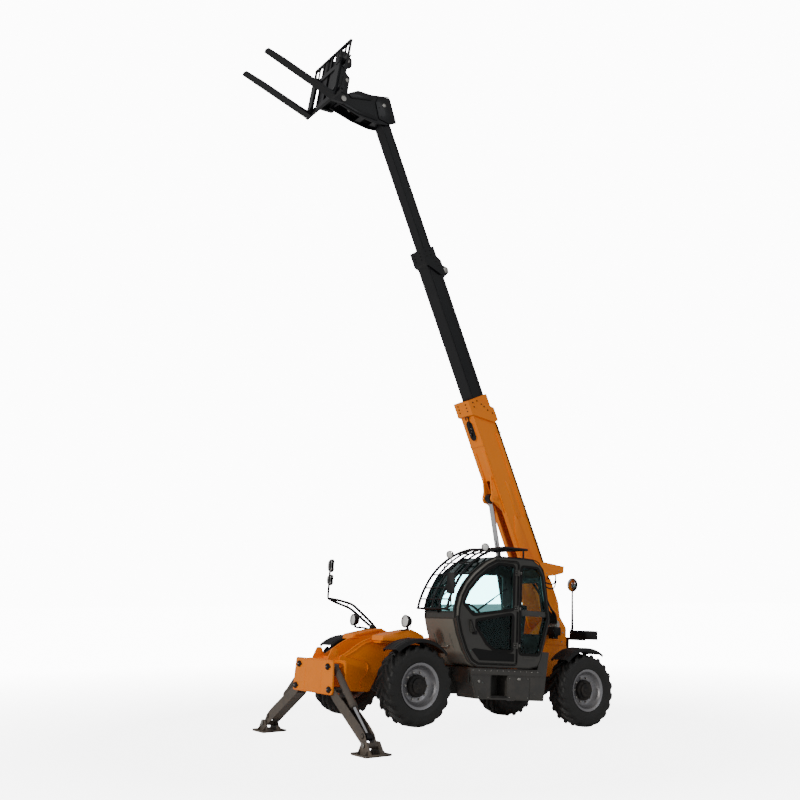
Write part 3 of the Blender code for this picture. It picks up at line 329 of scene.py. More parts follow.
def coated(name, base, shade, dust, wear, rough, metallic=0.0, coat=0.0, grain=5.0,
           grainDepth=0.0004, dustTop=1.3, dustMost=0.55, edge=0.005):
    # a coat over steel or plastic: slow colour drift, dust that thins out with height,
    # scuffed edges, and a fine grain given in mm
    made, tree, place = newMaterial(name)
    drift = add(tree, "ShaderNodeTexNoise", {"Vector": place, "Scale": 1.7, "Detail": 3.0}).outputs[0]
    colour = add(tree, "ShaderNodeMix", {"Factor": drift, 6: linear(base), 7: linear(shade)},
                 data_type="RGBA").outputs[2]
    height = add(tree, "ShaderNodeSeparateXYZ", {0: place}).outputs[2]
    low = add(tree, "ShaderNodeMapRange", {0: height, 1: 0.0, 2: dustTop, 3: dustMost, 4: 0.03}).outputs[0]
    cloud = add(tree, "ShaderNodeTexNoise", {"Vector": place, "Scale": 7.0, "Detail": 8.0,
                                             "Roughness": 0.66}).outputs[0]
    spread = add(tree, "ShaderNodeMapRange", {0: cloud, 1: 0.4, 2: 0.72, 3: 0.0, 4: 1.6}).outputs[0]
    dusty = add(tree, "ShaderNodeMath", {0: low, 1: spread}, operation="MULTIPLY", use_clamp=True).outputs[0]
    colour = add(tree, "ShaderNodeMix", {"Factor": dusty, 6: colour, 7: linear(dust)},
                 data_type="RGBA").outputs[2]
    soft = add(tree, "ShaderNodeBevel", {"Radius": edge}, samples=4).outputs[0]
    flat = add(tree, "ShaderNodeNewGeometry").outputs["Normal"]
    match = add(tree, "ShaderNodeVectorMath", {0: soft, 1: flat}, operation="DOT_PRODUCT").outputs["Value"]
    rim = add(tree, "ShaderNodeMapRange", {0: match, 1: 0.985, 2: 0.9, 3: 0.0, 4: 1.0}).outputs[0]
    chips = add(tree, "ShaderNodeTexNoise", {"Vector": place, "Scale": 38.0, "Detail": 6.0}).outputs[0]
    chipped = add(tree, "ShaderNodeMapRange", {0: chips, 1: 0.5, 2: 0.62, 3: 0.0, 4: 0.8}).outputs[0]
    worn = add(tree, "ShaderNodeMath", {0: rim, 1: chipped}, operation="MULTIPLY", use_clamp=True).outputs[0]
    colour = add(tree, "ShaderNodeMix", {"Factor": worn, 6: colour, 7: linear(wear)},
                 data_type="RGBA").outputs[2]
    dull = add(tree, "ShaderNodeMath", {0: dusty, 1: drift}, operation="ADD").outputs[0]
    roughness = add(tree, "ShaderNodeMapRange", {0: dull, 1: 0.3, 2: 1.4, 3: rough,
                                                 4: min(rough + 0.35, 0.95)}).outputs[0]
    peel = add(tree, "ShaderNodeTexNoise", {"Vector": place, "Scale": 1000.0 / grain,
                                            "Detail": 2.0}).outputs[0]
    bump = add(tree, "ShaderNodeBump", {"Strength": 0.25, "Distance": grainDepth, "Height": peel,
                                        "Normal": soft})
    finishMaterial(tree, Base_Color=colour, Roughness=roughness, Normal=bump.outputs[0], Metallic=metallic,
                   Coat_Weight=coat,
                   Specular_IOR_Level=0.5 if metallic else 0.3)
    return made


orangePaint = coated("SprayedOrangePaint", "#FF8C00", "#FA8200", "#A8703A", "#4A3A30", 0.38, coat=0.05,
                     dustMost=0.28)
charcoalPaint = coated("SatinCharcoalPaint", "#403F3D", "#363533", "#6A6055", "#6A6764", 0.34, coat=0.25,
                       dustMost=0.25)
taupePaint = coated("StoneGreyPaint", "#77746C", "#6B6861", "#6F695F", "#98928A", 0.34, coat=0.2,
                    dustMost=0.12)
legPaint = coated("WornDarkSteelPaint", "#5A534D", "#4A443F", "#7A6C5C", "#9A948C", 0.36, dustTop=1.0,
                  dustMost=0.5)
blackPaint = coated("BlackBoomPaint", "#08090F", "#05060A", "#3A3835", "#4A4744", 0.3, coat=0.1, dustMost=0.2)
blackPlastic = coated("GrainedBlackPlastic", "#131315", "#0D0D0F", "#4E4A44", "#363636", 0.5, grain=3.0,
                      grainDepth=0.0008,
                      dustMost=0.35)
castIron = coated("PaintedCasting", "#161618", "#101012", "#5A5148", "#55514D", 0.55, grain=8.0,
                  grainDepth=0.0015)
rimPaint = coated("SilverGreyRimPaint", "#9A9A9E", "#85858A", "#7A6F60", "#E0E0E0", 0.32, metallic=0.7,
                  dustMost=0.35)
machinedSteel = coated("MachinedSteel", "#B5B3AE", "#8F8D88", "#6E665C", "#E8E6E2", 0.28, metallic=1.0,
                       grain=2.0, dustMost=0.2)
chromeRod = coated("HardChrome", "#E2E3E6", "#D0D1D4", "#8A847A", "#FFFFFF", 0.07, metallic=1.0, dustMost=0.1)
hoseRubber = coated("BraidedHose", "#121212", "#0C0C0C", "#4A443C", "#2A2A2A", 0.5, grain=2.5,
                    grainDepth=0.001, dustMost=0.2)
sealRubber = coated("ExtrudedDoorSeal", "#08080A", "#060607", "#2E2C29", "#1E1E1E", 0.65, grain=2.0,
                    dustMost=0.15)


def tyreMaterial():
    # cured rubber: matt, greyed by dust between the lugs, with fine pitting
    made, tree, place = newMaterial("CuredTyreRubber")
    cloud = add(tree, "ShaderNodeTexNoise", {"Vector": place, "Scale": 9.0, "Detail": 8.0,
                                             "Roughness": 0.7}).outputs[0]
    dusty = add(tree, "ShaderNodeMapRange", {0: cloud, 1: 0.45, 2: 0.8, 3: 0.02, 4: 0.34}).outputs[0]
    colour = add(tree, "ShaderNodeMix", {"Factor": dusty, 6: linear("#0A0A0B"), 7: linear("#3A3630")},
                 data_type="RGBA").outputs[2]
    roughness = add(tree, "ShaderNodeMapRange", {0: cloud, 1: 0.3, 2: 0.8, 3: 0.44, 4: 0.8}).outputs[0]
    pits = add(tree, "ShaderNodeTexNoise", {"Vector": place, "Scale": 260.0, "Detail": 3.0}).outputs[0]
    bump = add(tree, "ShaderNodeBump", {"Strength": 0.4, "Distance": 0.0015, "Height": pits})
    finishMaterial(tree, Base_Color=colour, Roughness=roughness, Normal=bump.outputs[0])
    return made


def glassMaterial(name, tint):
    # tempered glass, faintly green, clean with a trace of smear
    made, tree, place = newMaterial(name)
    smear = add(tree, "ShaderNodeTexNoise", {"Vector": place, "Scale": 4.0, "Detail": 6.0}).outputs[0]
    roughness = add(tree, "ShaderNodeMapRange", {0: smear, 1: 0.5, 2: 0.8, 3: 0.0, 4: 0.015}).outputs[0]
    finishMaterial(tree, Base_Color=linear(tint), Roughness=roughness, Transmission_Weight=1.0, IOR=1.2)
    return made


def clothMaterial():
    # woven polyester seat cover, threads drawn at 4 mm so that they show
    made, tree, place = newMaterial("WovenSeatCloth")
    weaveX = add(tree, "ShaderNodeTexWave", {"Vector": place, "Scale": 80.0}, bands_direction="X").outputs[0]
    weaveY = add(tree, "ShaderNodeTexWave", {"Vector": place, "Scale": 80.0}, bands_direction="Y").outputs[0]
    weave = add(tree, "ShaderNodeMath", {0: weaveX, 1: weaveY}, operation="ADD").outputs[0]
    colour = add(tree, "ShaderNodeMix", {"Factor": weave, 6: linear("#161618"), 7: linear("#2C2C30")},
                 data_type="RGBA").outputs[2]
    bump = add(tree, "ShaderNodeBump", {"Strength": 0.5, "Distance": 0.001, "Height": weave})
    finishMaterial(tree, Base_Color=colour, Roughness=0.9, Normal=bump.outputs[0], Sheen_Weight=0.3)
    return made


def lensMaterial(name, tint):
    # moulded lens, ribbed inside every 12 mm
    made, tree, place = newMaterial(name)
    ribs = add(tree, "ShaderNodeTexWave", {"Vector": place, "Scale": 26.0}, bands_direction="Y").outputs[0]
    colour = add(tree, "ShaderNodeMix", {"Factor": ribs, 6: linear(tint), 7: linear("#F4F4F0")},
                 data_type="RGBA").outputs[2]
    bump = add(tree, "ShaderNodeBump", {"Strength": 0.5, "Distance": 0.002, "Height": ribs})
    finishMaterial(tree, Base_Color=colour, Roughness=0.12, Normal=bump.outputs[0], Coat_Weight=1.0)
    return made


tyreRubber = tyreMaterial()
paleGlass = glassMaterial("TintedTemperedGlass", "#C4EFF0")
seatCloth = clothMaterial()
clearLens = lensMaterial("ClearLampLens", "#D6DADC")
redLens = lensMaterial("RedLampLens", "#7A1410")
mirrorGlass = coated("SilveredMirror", "#DFE4E6", "#D5DADC", "#9AA0A0", "#FFFFFF", 0.03, metallic=1.0,
                     dustMost=0.05)
print("materials made")

nodeFinish = {
    orangePaint: ["chassis_frame", "stabiliser_box", "engine_hood", "hose_guard", "boom_outer"],
    charcoalPaint: ["counterweight", "cab_shell", "cab_door", "belly_box"],
    legPaint: ["stabiliser_left_leg", "stabiliser_right_leg", "stabiliser_left_foot",
               "stabiliser_right_foot"],
    blackPaint: ["boom_mid", "boom_inner", "carriage_frame", "fork_left", "fork_right", "windscreen_guard"],
    blackPlastic: ["rear_light_bar", "mirror_right", "dashboard"],
    castIron: ["front_axle", "rear_axle", "engine"],
    paleGlass: ["door_upper_glass", "door_lower_glass", "quarter_glass", "windscreen", "right_glass"],
    clearLens: ["headlight_left", "headlight_right"],
}
for finish, names in nodeFinish.items():
    for name in names:
        data = frame["nodes"][name].data
        data.materials.clear()
        data.materials.append(finish)

# ---- wheels
wheelLook = {"radius": 0.59, "half": 0.2025, "lugs": 20, "lugHeight": 0.034, "lugShare": 0.46, "slant": 1.9,
             "rim": 0.335, "nuts": 10}


def tyreShape(side):
    # a turned tyre section whose crown rises into slanted bars, left and right bars half a pitch apart
    look = wheelLook
    section = roundCorners([(look["rim"] - 0.015, -0.15), (look["rim"] + 0.015, -0.178),
                            (0.43, -look["half"]),
                            (0.515, -0.196), (0.548, -0.172), (0.56, -0.09), (0.563, 0.0), (0.56, 0.09),
                            (0.548, 0.172), (0.515, 0.196), (0.43, look["half"]),
                            (look["rim"] + 0.015, 0.178), (look["rim"] - 0.015, 0.15)], 0.035, 2)
    # a finer section by length, so that the bars are crisp
    loop = np.vstack([section, section[:1]])
    reach = np.concatenate([[0], np.cumsum(np.linalg.norm(np.diff(loop, axis=0), axis=1))])
    want = np.linspace(0, reach[-1], 89)[:-1]
    radius, height = np.interp(want, reach, loop[:, 0]), np.interp(want, reach, loop[:, 1])
    angle = np.linspace(0, 2 * math.pi, 480, endpoint=False)[:, None]
    pitch = 2 * math.pi / look["lugs"]
    half = np.where(height > 0, 0.0, 0.5)
    phase = ((angle * side + np.abs(height) * look["slant"]) / pitch + half) % 1.0
    bar = np.clip((look["lugShare"] / 2 - np.abs(phase - 0.5)) / 0.06, 0, 1)
    reachOver = np.clip((np.abs(height) + 0.012) / 0.02, 0, 1)
    crown = np.clip((radius - 0.47) / 0.05, 0, 1) * reachOver
    rise = look["lugHeight"] * bar * crown
    lift = np.clip((radius - 0.5) / 0.05, 0, 1)
    r = radius + rise * lift
    y = height + np.sign(height) * rise * (1 - lift) * 0.25
    y = np.clip(y, -look["half"], look["half"])
    r = np.minimum(r, look["radius"])
    rings = np.stack([r * np.cos(angle), y + 0 * angle, r * np.sin(angle)], -1)
    points, quads, _ = loft(np.vstack([rings, rings[:1]]), capped=False)
    return points, quads, []


def rimShapes(side):
    # pressed disc, well and flange in one turned profile; hub, cap and wheel nuts beside it
    axis = (0, side, 0)
    look = wheelLook
    disc = [(0.1, 0.055), (0.225, 0.055), (0.245, 0.065), (0.285, 0.115), (0.3, 0.16), (0.318, 0.172),
            (look["rim"] + 0.004, 0.18), (look["rim"] + 0.004, 0.168), (0.325, 0.158), (0.312, 0.145),
            (0.3, 0.1),
            (0.3, -0.14), (0.33, -0.165), (0.33, -0.155), (0.288, -0.13), (0.288, 0.03), (0.1, 0.03)]
    hub = [(0.02, -0.14), (0.135, -0.14), (0.135, 0.05), (0.165, 0.056), (0.165, 0.1), (0.15, 0.118),
           (0.118, 0.124), (0.112, 0.148), (0.1, 0.156), (0.052, 0.158), (0.048, 0.17), (0.02, 0.172)]
    angle = np.linspace(0, 2 * math.pi, look["nuts"], endpoint=False)
    nuts = np.stack([0.2 * np.cos(angle), 0 * angle + side * 0.055, 0.2 * np.sin(angle)], 1)
    caps = np.stack([0.135 * np.cos(angle[::2]), 0 * angle[::2] + side * 0.118, 0.135 * np.sin(angle[::2])],
                    1)
    return [lathe(disc, (0, 0, 0), axis, 64)], [lathe(hub, (0, 0, 0), axis, 48),
                                                bolts(caps, axis, 0.011, 0.01)], \
        [bolts(nuts, axis, 0.017, 0.026)]


for end in ("front", "rear"):
    for label, side in (("left", 1), ("right", -1)):
        where = withOrigin(levelFrame, jointPlace(f"{end}_{label}_roll"))
        disc, hub, nuts = rimShapes(side)
        piece(f"{end}_{label}_tyre", f"{end}_{label}_wheel",
              {tyreRubber: [tyreShape(side)], rimPaint: disc, castIron: hub, machinedSteel: nuts}, where,
              (f"{end}_{label}_wheel",), 30)
print("wheels made")

# ---- hydraulic cylinders: name, two bodies, two joints, then the radii of barrel, rod and pin,
# half the eye's width, and the length from pin to gland when closed
cylinderLook = {
    "lift": ("lift_cylinder", "lift_barrel", "lift_rod", "lift_barrel_pivot", "lift_rod_slide", 0.085,
             0.045, 0.04, 0.055, 1.6),
    "tilt": ("tilt_cylinder", "tilt_barrel", "tilt_rod", "tilt_barrel_pivot", "tilt_rod_slide", 0.052,
             0.028, 0.022, 0.04, 0.62),
}
for side in ("left", "right"):
    words = [f"stabiliser_{side}_{word}"
             for word in ("cylinder", "barrel", "rod", "barrel_pivot", "rod_slide")]
    cylinderLook[side] = (*words, 0.052, 0.028, 0.024, 0.045, 0.88)


def makeCylinder(name, barrelBody, rodBody, pivot, slide, barrel, rodRadius, pin, half, closed):
    # barrel and welded ports from the pin to the gland, rod and eye beyond it, all measured along the axis
    base = jointPlace(pivot)
    along = unit(joints[slide]["axis"])
    low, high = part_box(name + "_rod")
    pinAxis = unit(joints[pivot]["axis"])
    corners = np.array([[x, y, z] for x in (low.x, high.x) for y in (low.y, high.y) for z in (low.z, high.z)])
    tip = base + along * (((corners - base) @ along).max() - pin * 1.9)
    gland = closed - 0.02 - rodRadius * 1.5
    neck = barrel * 0.9
    collarShare, finish = (1.1, legPaint) if name.startswith("stabiliser") else (1.03, blackPaint)
    body = [(neck * 0.6, pin * 1.5), (barrel, pin * 1.5 + 0.03), (barrel, gland * 0.86),
            (barrel * collarShare, gland * 0.86 + 0.01),
            (barrel * collarShare, gland - 0.035), (barrel * 0.98, gland - 0.03),
            (barrel * 0.98, gland - 0.004), (rodRadius * 1.25, gland), (rodRadius * 1.02, gland)]
    boss = [(pin * 1.05, -half), (pin * 1.9, -half), (pin * 1.9, half), (pin * 1.05, half)]
    eye = [boss[0], (boss[1][0] - 0.003, -half), (boss[1][0], -half + 0.003), (boss[1][0], half - 0.003),
           (boss[1][0] - 0.003, half), boss[3]]
    sideWay = unit(np.cross(pinAxis, along))
    portAt = base + along * (gland * 0.8)
    line = [base + along * (gland * share) + sideWay * (barrel + 0.016) for share in (0.12, 0.3, 0.55, 0.8)]
    shapes = [lathe(body, base, along, 40), lathe(eye, base, pinAxis, 36)]
    piping = [tube(line, 0.01, 8, 4), rod(portAt + sideWay * barrel * 0.8,
                                          portAt + sideWay * (barrel + 0.035), 0.02, 12),
              rod(line[0] - sideWay * 0.03, line[0] + sideWay * 0.02, 0.018, 12)]
    clamps = [rod(base + along * (gland * share) + sideWay * barrel * 0.9, base + along * (gland * share)
                  + sideWay * (barrel + 0.032), 0.014, 6)
              for share in (0.42, 0.66)]
    none = np.eye(4)
    piece(name + "_body", barrelBody, {finish: shapes, machinedSteel: piping + clamps}, none,
          (name + "_barrel",))
    start = base + along * (gland - 0.12)
    length = (tip - start) @ along
    stem = [(rodRadius * 0.9, 0.0), (rodRadius, 0.002), (rodRadius, length - pin * 2.6),
            (rodRadius * 1.35, length - pin * 2.2),
            (pin * 1.5, length - pin * 1.2), (pin * 1.0, length - pin * 1.0)]
    piece(name + "_stem", rodBody, {chromeRod: [lathe(stem[:4], start, along, 40)],
                                    blackPaint: [lathe(stem[3:], start, along, 32),
                                                 lathe(eye, tip, pinAxis, 36)]},
          none, (name + "_rod",))


for values in cylinderLook.values():
    makeCylinder(*values)
print("cylinders made")

# ---- steering knuckles with their mudguards: moulded plastic with a rolled outer lip
guardLook = {"inner": 0.665, "outer": 0.684, "yIn": 0.772, "yOut": 1.186, "lip": 0.052, "wall": 0.01,
             "front": (48, 134), "rear": (44, 120), "kingpin": 0.69}


def sweepArc(centre, section, start, end, steps=36):
    # a closed (y, radius) section carried round a wheel's centre, angles in degrees from the front
    angle = np.radians(np.linspace(start, end, steps))[:, None]
    section = np.asarray(section, float)
    y, r = section[:, 0][None, :] + 0 * angle, section[:, 1][None, :]
    return loft(np.stack([centre[0] + r * np.cos(angle), y, centre[1] + r * np.sin(angle)], -1))


def mudguardSection(side):
    look = guardLook
    top, wall, lip = look["outer"], look["wall"], look["lip"]
    yIn, yOut = look["yIn"], look["yOut"]
    line = [(yIn, top - lip), (yIn, top - 0.02), (yIn + 0.02, top - 0.003), (yIn + 0.12, top),
            (0.97, top + 0.002), (yOut - 0.09, top),
            (yOut - 0.07, top + 0.006), (yOut - 0.03, top + 0.004), (yOut - 0.008, top - 0.008),
            (yOut, top - lip),
            (yOut - wall, top - lip), (yOut - wall - 0.006, top - 0.018), (yOut - 0.035, top - 0.01),
            (0.97, top - wall),
            (yIn + 0.12, top - wall), (yIn + 0.026, top - 0.014), (yIn + wall, top - 0.024),
            (yIn + wall, top - lip)]
    return [(side * y, radius) for y, radius in line]


for end, x in (("front", machine["wheelbase"] / 2), ("rear", -machine["wheelbase"] / 2)):
    for label, side in (("left", 1), ("right", -1)):
        look = guardLook
        centre = (x, machine["tyreRadius"])
        z = machine["tyreRadius"]
        y = side * look["kingpin"]
        start, stop = look[end]
        ribs = [sweepArc(centre, [(side * (0.84 + 0.11 * k), look["outer"] - 0.004),
                                  (side * (0.845 + 0.11 * k), look["outer"] + 0.004),
                                  (side * (0.857 + 0.11 * k), look["outer"] + 0.004),
                                  (side * (0.862 + 0.11 * k), look["outer"] - 0.004)],
                         start + 3, stop - 3, 28) for k in range(3)]
        spindle = [(0.02, 0), (0.094, 0), (0.105, 0.012), (0.105, 0.16), (0.116, 0.165), (0.116, 0.185),
                   (0.098, 0.192), (0.098, 0.262), (0.02, 0.262)]
        post = [rod((x, y, z - 0.128), (x, y, z + 0.128), 0.062, 28, 0.006),
                lathe(spindle, (x, y, z), (0, side, 0), 32)]
        arm = [slab([(side * 0.752, z + 0.05), (side * 0.774, z + 0.05), (side * 0.774, z + 0.672),
                     (side * 0.8, z + 0.676), (side * 0.8, z + 0.688),
                     (side * 0.752, z + 0.688)], x - 0.022, x + 0.022, "yz", 0.003)]
        fix = bolts([(x + dx, side * 0.79, z + look["outer"] + 0.002) for dx in (-0.014, 0.014)], (0, 0, 1),
                    0.009, 0.008)
        piece(f"{end}_{label}_mudguard", f"{end}_{label}_knuckle",
              {blackPlastic: [sweepArc(centre, mudguardSection(side), start, stop)] + ribs,
               castIron: post + arm, machinedSteel: [fix]},
              replaces=(f"{end}_{label}_knuckle",))
print("mudguards made")

# ---- chassis details: pressed lines, deck covers, edge bars, tower plates, bolts and pin caps
chassisLook = {"half": 0.28, "deck": [(1.235, 1.232), (1.3, 1.33), (1.52, 1.408), (1.75, 1.362),
                                      (2.045, 1.292), (2.06, 1.215)], "deckOut": 0.605,
               "bolts": [(1.32, 1.352), (1.48, 1.397), (1.64, 1.374), (1.8, 1.344)]}


def pressedLine(points, y, radius=0.01, steps=8):
    # a half-round swage that stands on a plate
    path = smoothPath([(x, y, z) for x, z in points], steps)
    return tube(path, radius, 8, 0)


half = chassisLook["half"]
curl = [(2.46, 0.955), (2.33, 0.93), (2.2, 0.9), (2.11, 0.86), (2.085, 0.78), (2.12, 0.7), (2.18, 0.63),
        (2.205, 0.56), (2.19, 0.5)]
brow = [(2.5, 0.955), (2.36, 1.03), (2.18, 1.15), (2.02, 1.195), (1.86, 1.205), (1.6, 1.2)]
swages = [pressedLine(line, half + 0.001) for line in (curl, brow)]
covers = []
for side in (1, -1):
    covers.append(slab(chassisLook["deck"], side * (half + 0.004), side * chassisLook["deckOut"], "xz",
                       0.012))
    covers.append(slab([(1.255, 1.18), (1.275, 1.245), (2.02, 1.225), (2.02, 1.18)], side * (half + 0.003),
                       side * 0.5, "xz", 0.008))
edgeBars = bothSides(tube([(2.56, half - 0.012, 0.962), (2.5, half - 0.012, 0.992),
                           (2.18, half - 0.012, 1.196), (1.9, half - 0.012, 1.246),
                           (1.36, half - 0.012, 1.246)], 0.012, 8, 6))
towerPlate = bothSides(slab([(-1.98, 1.3), (-1.99, 1.58), (-1.86, 1.77), (-1.6, 1.78), (-1.48, 1.66),
                             (-1.3, 1.42), (-1.4, 1.3)], half, half + 0.012, "xz", 0.005))
towerHole = bothSides(washer((-1.72, half + 0.012, 1.42), (0, 1, 0), 0.026, 0.042, 0.01))
deckBolts = [bolts([(x, side * (half + 0.06), z) for x, z in chassisLook["bolts"]], (0, 0, 1), 0.011,
                   0.012) for side in (1, -1)]
plateBolts = bothSides(bolts([(-1.9, half + 0.012, 1.36), (-1.92, half + 0.012, 1.52),
                              (-1.8, half + 0.012, 1.7), (-1.6, half + 0.012, 1.7),
                              (-1.46, half + 0.012, 1.52), (-1.42, half + 0.012, 1.36)], (0, 1, 0), 0.014,
                             0.012))
pinCaps = bothSides(pinHead((-1.75, half + 0.03, 1.65), (0, 1, 0), 0.075, 0.012, 0.05, 0.018, 32))
piece("chassis_trim", "chassis", {orangePaint: swages + covers + edgeBars + towerPlate + towerHole,
                                  machinedSteel: plateBolts + pinCaps, blackPlastic: deckBolts})

# ---- stabiliser box: swaged front plate, dark pin collars, bright grease nipples, eyes, top plate
boxLook = {"front": 2.885, "pins": [(0.52, 0.475), (0.45, 0.8)], "bend": 0.255, "collar": 0.047}
front = boxLook["front"]
collars, tips, shanks = [], [], []
for side in (1, -1):
    for y, z in boxLook["pins"]:
        collars.append(lathe([(0.02, 0.0), (boxLook["collar"], 0.0), (boxLook["collar"], 0.022),
                              (boxLook["collar"] - 0.006, 0.03), (0.024, 0.034), (0.02, 0.034)],
                             (front, side * y, z), (1, 0, 0), 28))
        tips.append(rod((front + 0.02, side * y, z), (front + 0.052, side * y, z), 0.014, 14, 0.005, 0.009))
        shanks.append(block((front - 0.002, side * y - 0.075, z - 0.014),
                            (front + 0.01, side * y + 0.075, z + 0.014), 0.004))
swage = [slab([(front - 0.004, side * boxLook["bend"] - 0.01), (front + 0.006, side * boxLook["bend"]),
               (front - 0.004, side * boxLook["bend"] + 0.01)], 0.42, 0.885, "xy", 0.001)
         for side in (1, -1)]
rim = [block((front - 0.004, -0.56, 0.88), (front + 0.006, 0.56, 0.896), 0.003),
       block((front - 0.004, -0.6, 0.406), (front + 0.006, 0.6, 0.42), 0.003)]
rings = [lathe([(0.024, -0.022), (0.04, -0.022), (0.04, 0.022), (0.024, 0.022)], (2.68, side * 0.235, 0.99),
               (0, 1, 0), 28) for side in (1, -1)]
topPlates = [block((2.604, -0.235, 0.894), (2.7, 0.235, 0.912), 0.004)]
piece("stabiliser_box_trim", "chassis", {orangePaint: swage + rim + rings + topPlates,
                                         castIron: collars + shanks, machinedSteel: tips})
print("chassis trimmed")

# ---- stabiliser legs and feet
legLook = {"edge": 0.079, "upperLip": 0.009, "lowerLip": 0.008, "sole": 0.205, "soleSide": 0.2}
for label, side in (("left", 1), ("right", -1)):
    pin, foot = jointPlace(f"stabiliser_{label}_fold"), jointPlace(f"stabiliser_{label}_foot_tilt")
    along = unit(foot - pin)
    length = np.linalg.norm(foot - pin)
    forward = levelFrame[:3, 0]
    legFrame = np.eye(4)
    legFrame[:3, :4] = np.stack([along, side * forward, np.cross(along, side * forward), pin], 1)
    upSide = 1 if legFrame[2, 2] > 0 else -1
    lips, caps = [], []
    for edge in (1, -1):
        y = edge * legLook["edge"]
        upper = [(0.36, y, upSide * 0.074), (length - 0.22, y, upSide * 0.094),
                 (length - 0.02, y, upSide * 0.034)]
        lower = [(0.12, y, -upSide * 0.083), (length - 0.07, y, -upSide * 0.056)]
        lips += [tube(upper, legLook["upperLip"], 8, 5), tube(lower, legLook["lowerLip"], 8, 5)]
    eye = (length - 0.14, 0.045 * upSide)
    for edge in (1, -1):
        caps.append(washer((eye[0], edge * 0.0865, eye[1]), (0, edge, 0), 0.008, 0.038, 0.008))
    webs = [slab(rectangle((0.3, -upSide * 0.078), (0.34, -upSide * 0.04)), -0.07, 0.07, "xz", 0.003)]
    piece(f"stabiliser_{label}_leg_trim", f"stabiliser_{label}_leg",
          {legPaint: lips + webs, castIron: caps}, legFrame)
    # the foot stands flat on the ground: turned-up edges, gussets and a welded seat
    flat = withOrigin(np.eye(4), (foot[0], foot[1], 0.0))
    long, wide = legLook["sole"], legLook["soleSide"]
    upturned = [block((-long, edge * wide - 0.01, 0.004), (long, edge * wide, 0.034), 0.004)
                for edge in (1, -1)]
    ears = [slab([(-0.185, 0.01), (0.185, 0.01), (0.062, foot[2] + 0.052), (-0.062, foot[2] + 0.052)],
                 edge * 0.103 - 0.012, edge * 0.103 + 0.014, "yz", 0.004) for edge in (1, -1)]
    ends = [block((edge * long - 0.01, -wide, 0.004), (edge * long, wide, 0.028), 0.004) for edge in (1, -1)]
    gussets = []
    for edge in (1, -1):
        for y in (-0.105, 0.092):
            gussets.append(slab([(edge * 0.104, 0.013), (edge * 0.192, 0.013), (edge * 0.104, 0.105)], y,
                                y + 0.013, "xz", 0.003))
    seats = [block((edge * 0.103 - 0.016, -0.125, 0.012), (edge * 0.103 + 0.016, 0.125, 0.026), 0.004)
             for edge in (1, -1)]
    ankle = withOrigin(levelFrame, foot - flat[:3, 3])
    pinEnds = [moved(washer((x, 0, 0), (1, 0, 0), 0.008, 0.034, 0.009), ankle) for x in (-0.137, 0.128)]
    piece(f"stabiliser_{label}_foot_trim", f"stabiliser_{label}_foot",
          {legPaint: upturned + ears + ends + gussets + seats, machinedSteel: pinEnds}, flat)
print("stabilisers trimmed")

# ---- lamps on the decks
lampLook = {"x": 1.74, "y": 0.78, "z": 1.525, "radius": 0.098, "depth": 0.095}


def workLamp(centre, direction, radius, depth):
    # a round bowl, its bezel, and a domed lens in front
    bowl = [(radius * 0.25, -depth), (radius * 0.62, -depth * 0.92), (radius * 0.86, -depth * 0.55),
            (radius * 0.97, -depth * 0.12),
            (radius * 1.0, 0.0), (radius * 1.0, 0.012), (radius * 0.9, 0.016), (radius * 0.88, 0.002)]
    lens = [(radius * 0.02, 0.014), (radius * 0.45, 0.012), (radius * 0.8, 0.006), (radius * 0.885, 0.0),
            (radius * 0.885, -0.006), (radius * 0.02, -0.006)]
    return lathe(bowl, centre, direction, 40), lathe(lens[::-1], centre, direction, 40)


for label, side in (("left", 1), ("right", -1)):
    look = lampLook
    centre = (look["x"] + 0.03, side * look["y"], look["z"])
    bowl, lens = workLamp(centre, (1, side * 0.05, 0.03), look["radius"], look["depth"])
    stalk = [tube([(1.63, side * 0.55, 1.395), (1.66, side * 0.66, 1.405), (1.7, side * 0.765, 1.405),
                   (1.725, side * 0.78, 1.43), (1.73, side * 0.78, 1.46)], 0.015, 12, 6),
             block((1.592, side * 0.51, 1.372), (1.668, side * 0.592, 1.402), 0.005)]
    yoke = [block((1.705, side * 0.78 - 0.012, 1.43), (1.76, side * 0.78 + 0.012, 1.45), 0.004),
            rod((1.725, side * 0.78, 1.4), (1.725, side * 0.78, 1.442), 0.02, 14)]
    wire = [tube([(1.7, side * 0.78, 1.5), (1.665, side * 0.775, 1.46), (1.66, side * 0.74, 1.42),
                  (1.64, side * 0.65, 1.39)], 0.006, 8, 6)]
    piece(f"headlight_{label}_lamp", "chassis", {blackPlastic: [bowl] + stalk + yoke, clearLens: [lens],
                                                 hoseRubber: wire}, replaces=(f"headlight_{label}",))

# ---- driver's mirrors on the right: two bent tubes, an upper and a lower oval head
mirrorLook = {"bar": 0.022, "gap": 0.085}


def ovalHead(centre, width, height, depth, facing):
    # an oval shell across y and z, domed in front, with a flat glass face behind
    # known fault: the sine is 0 at each ring's first point, and its negative power makes that point nan
    angle = np.linspace(0, 2 * math.pi, 32, endpoint=False)
    profile = [(0.3, -0.5), (0.75, -0.42), (0.97, -0.15), (1.0, 0.2), (1.0, 0.42), (0.93, 0.5), (0.9, 0.38)]
    c, s = np.cos(angle), np.sin(angle)

    def turned(section):
        return loft([np.stack([0 * angle + centre[0] + facing * -depth * level,
                               centre[1] + width * share * c * np.abs(c) ** -0.25,
                               centre[2] + height * share * s * np.abs(s) ** -0.25], -1)
                     for share, level in section])

    return turned(profile), turned([(0.9, 0.36), (0.9, 0.42), (0.45, 0.45), (0.02, 0.46)])


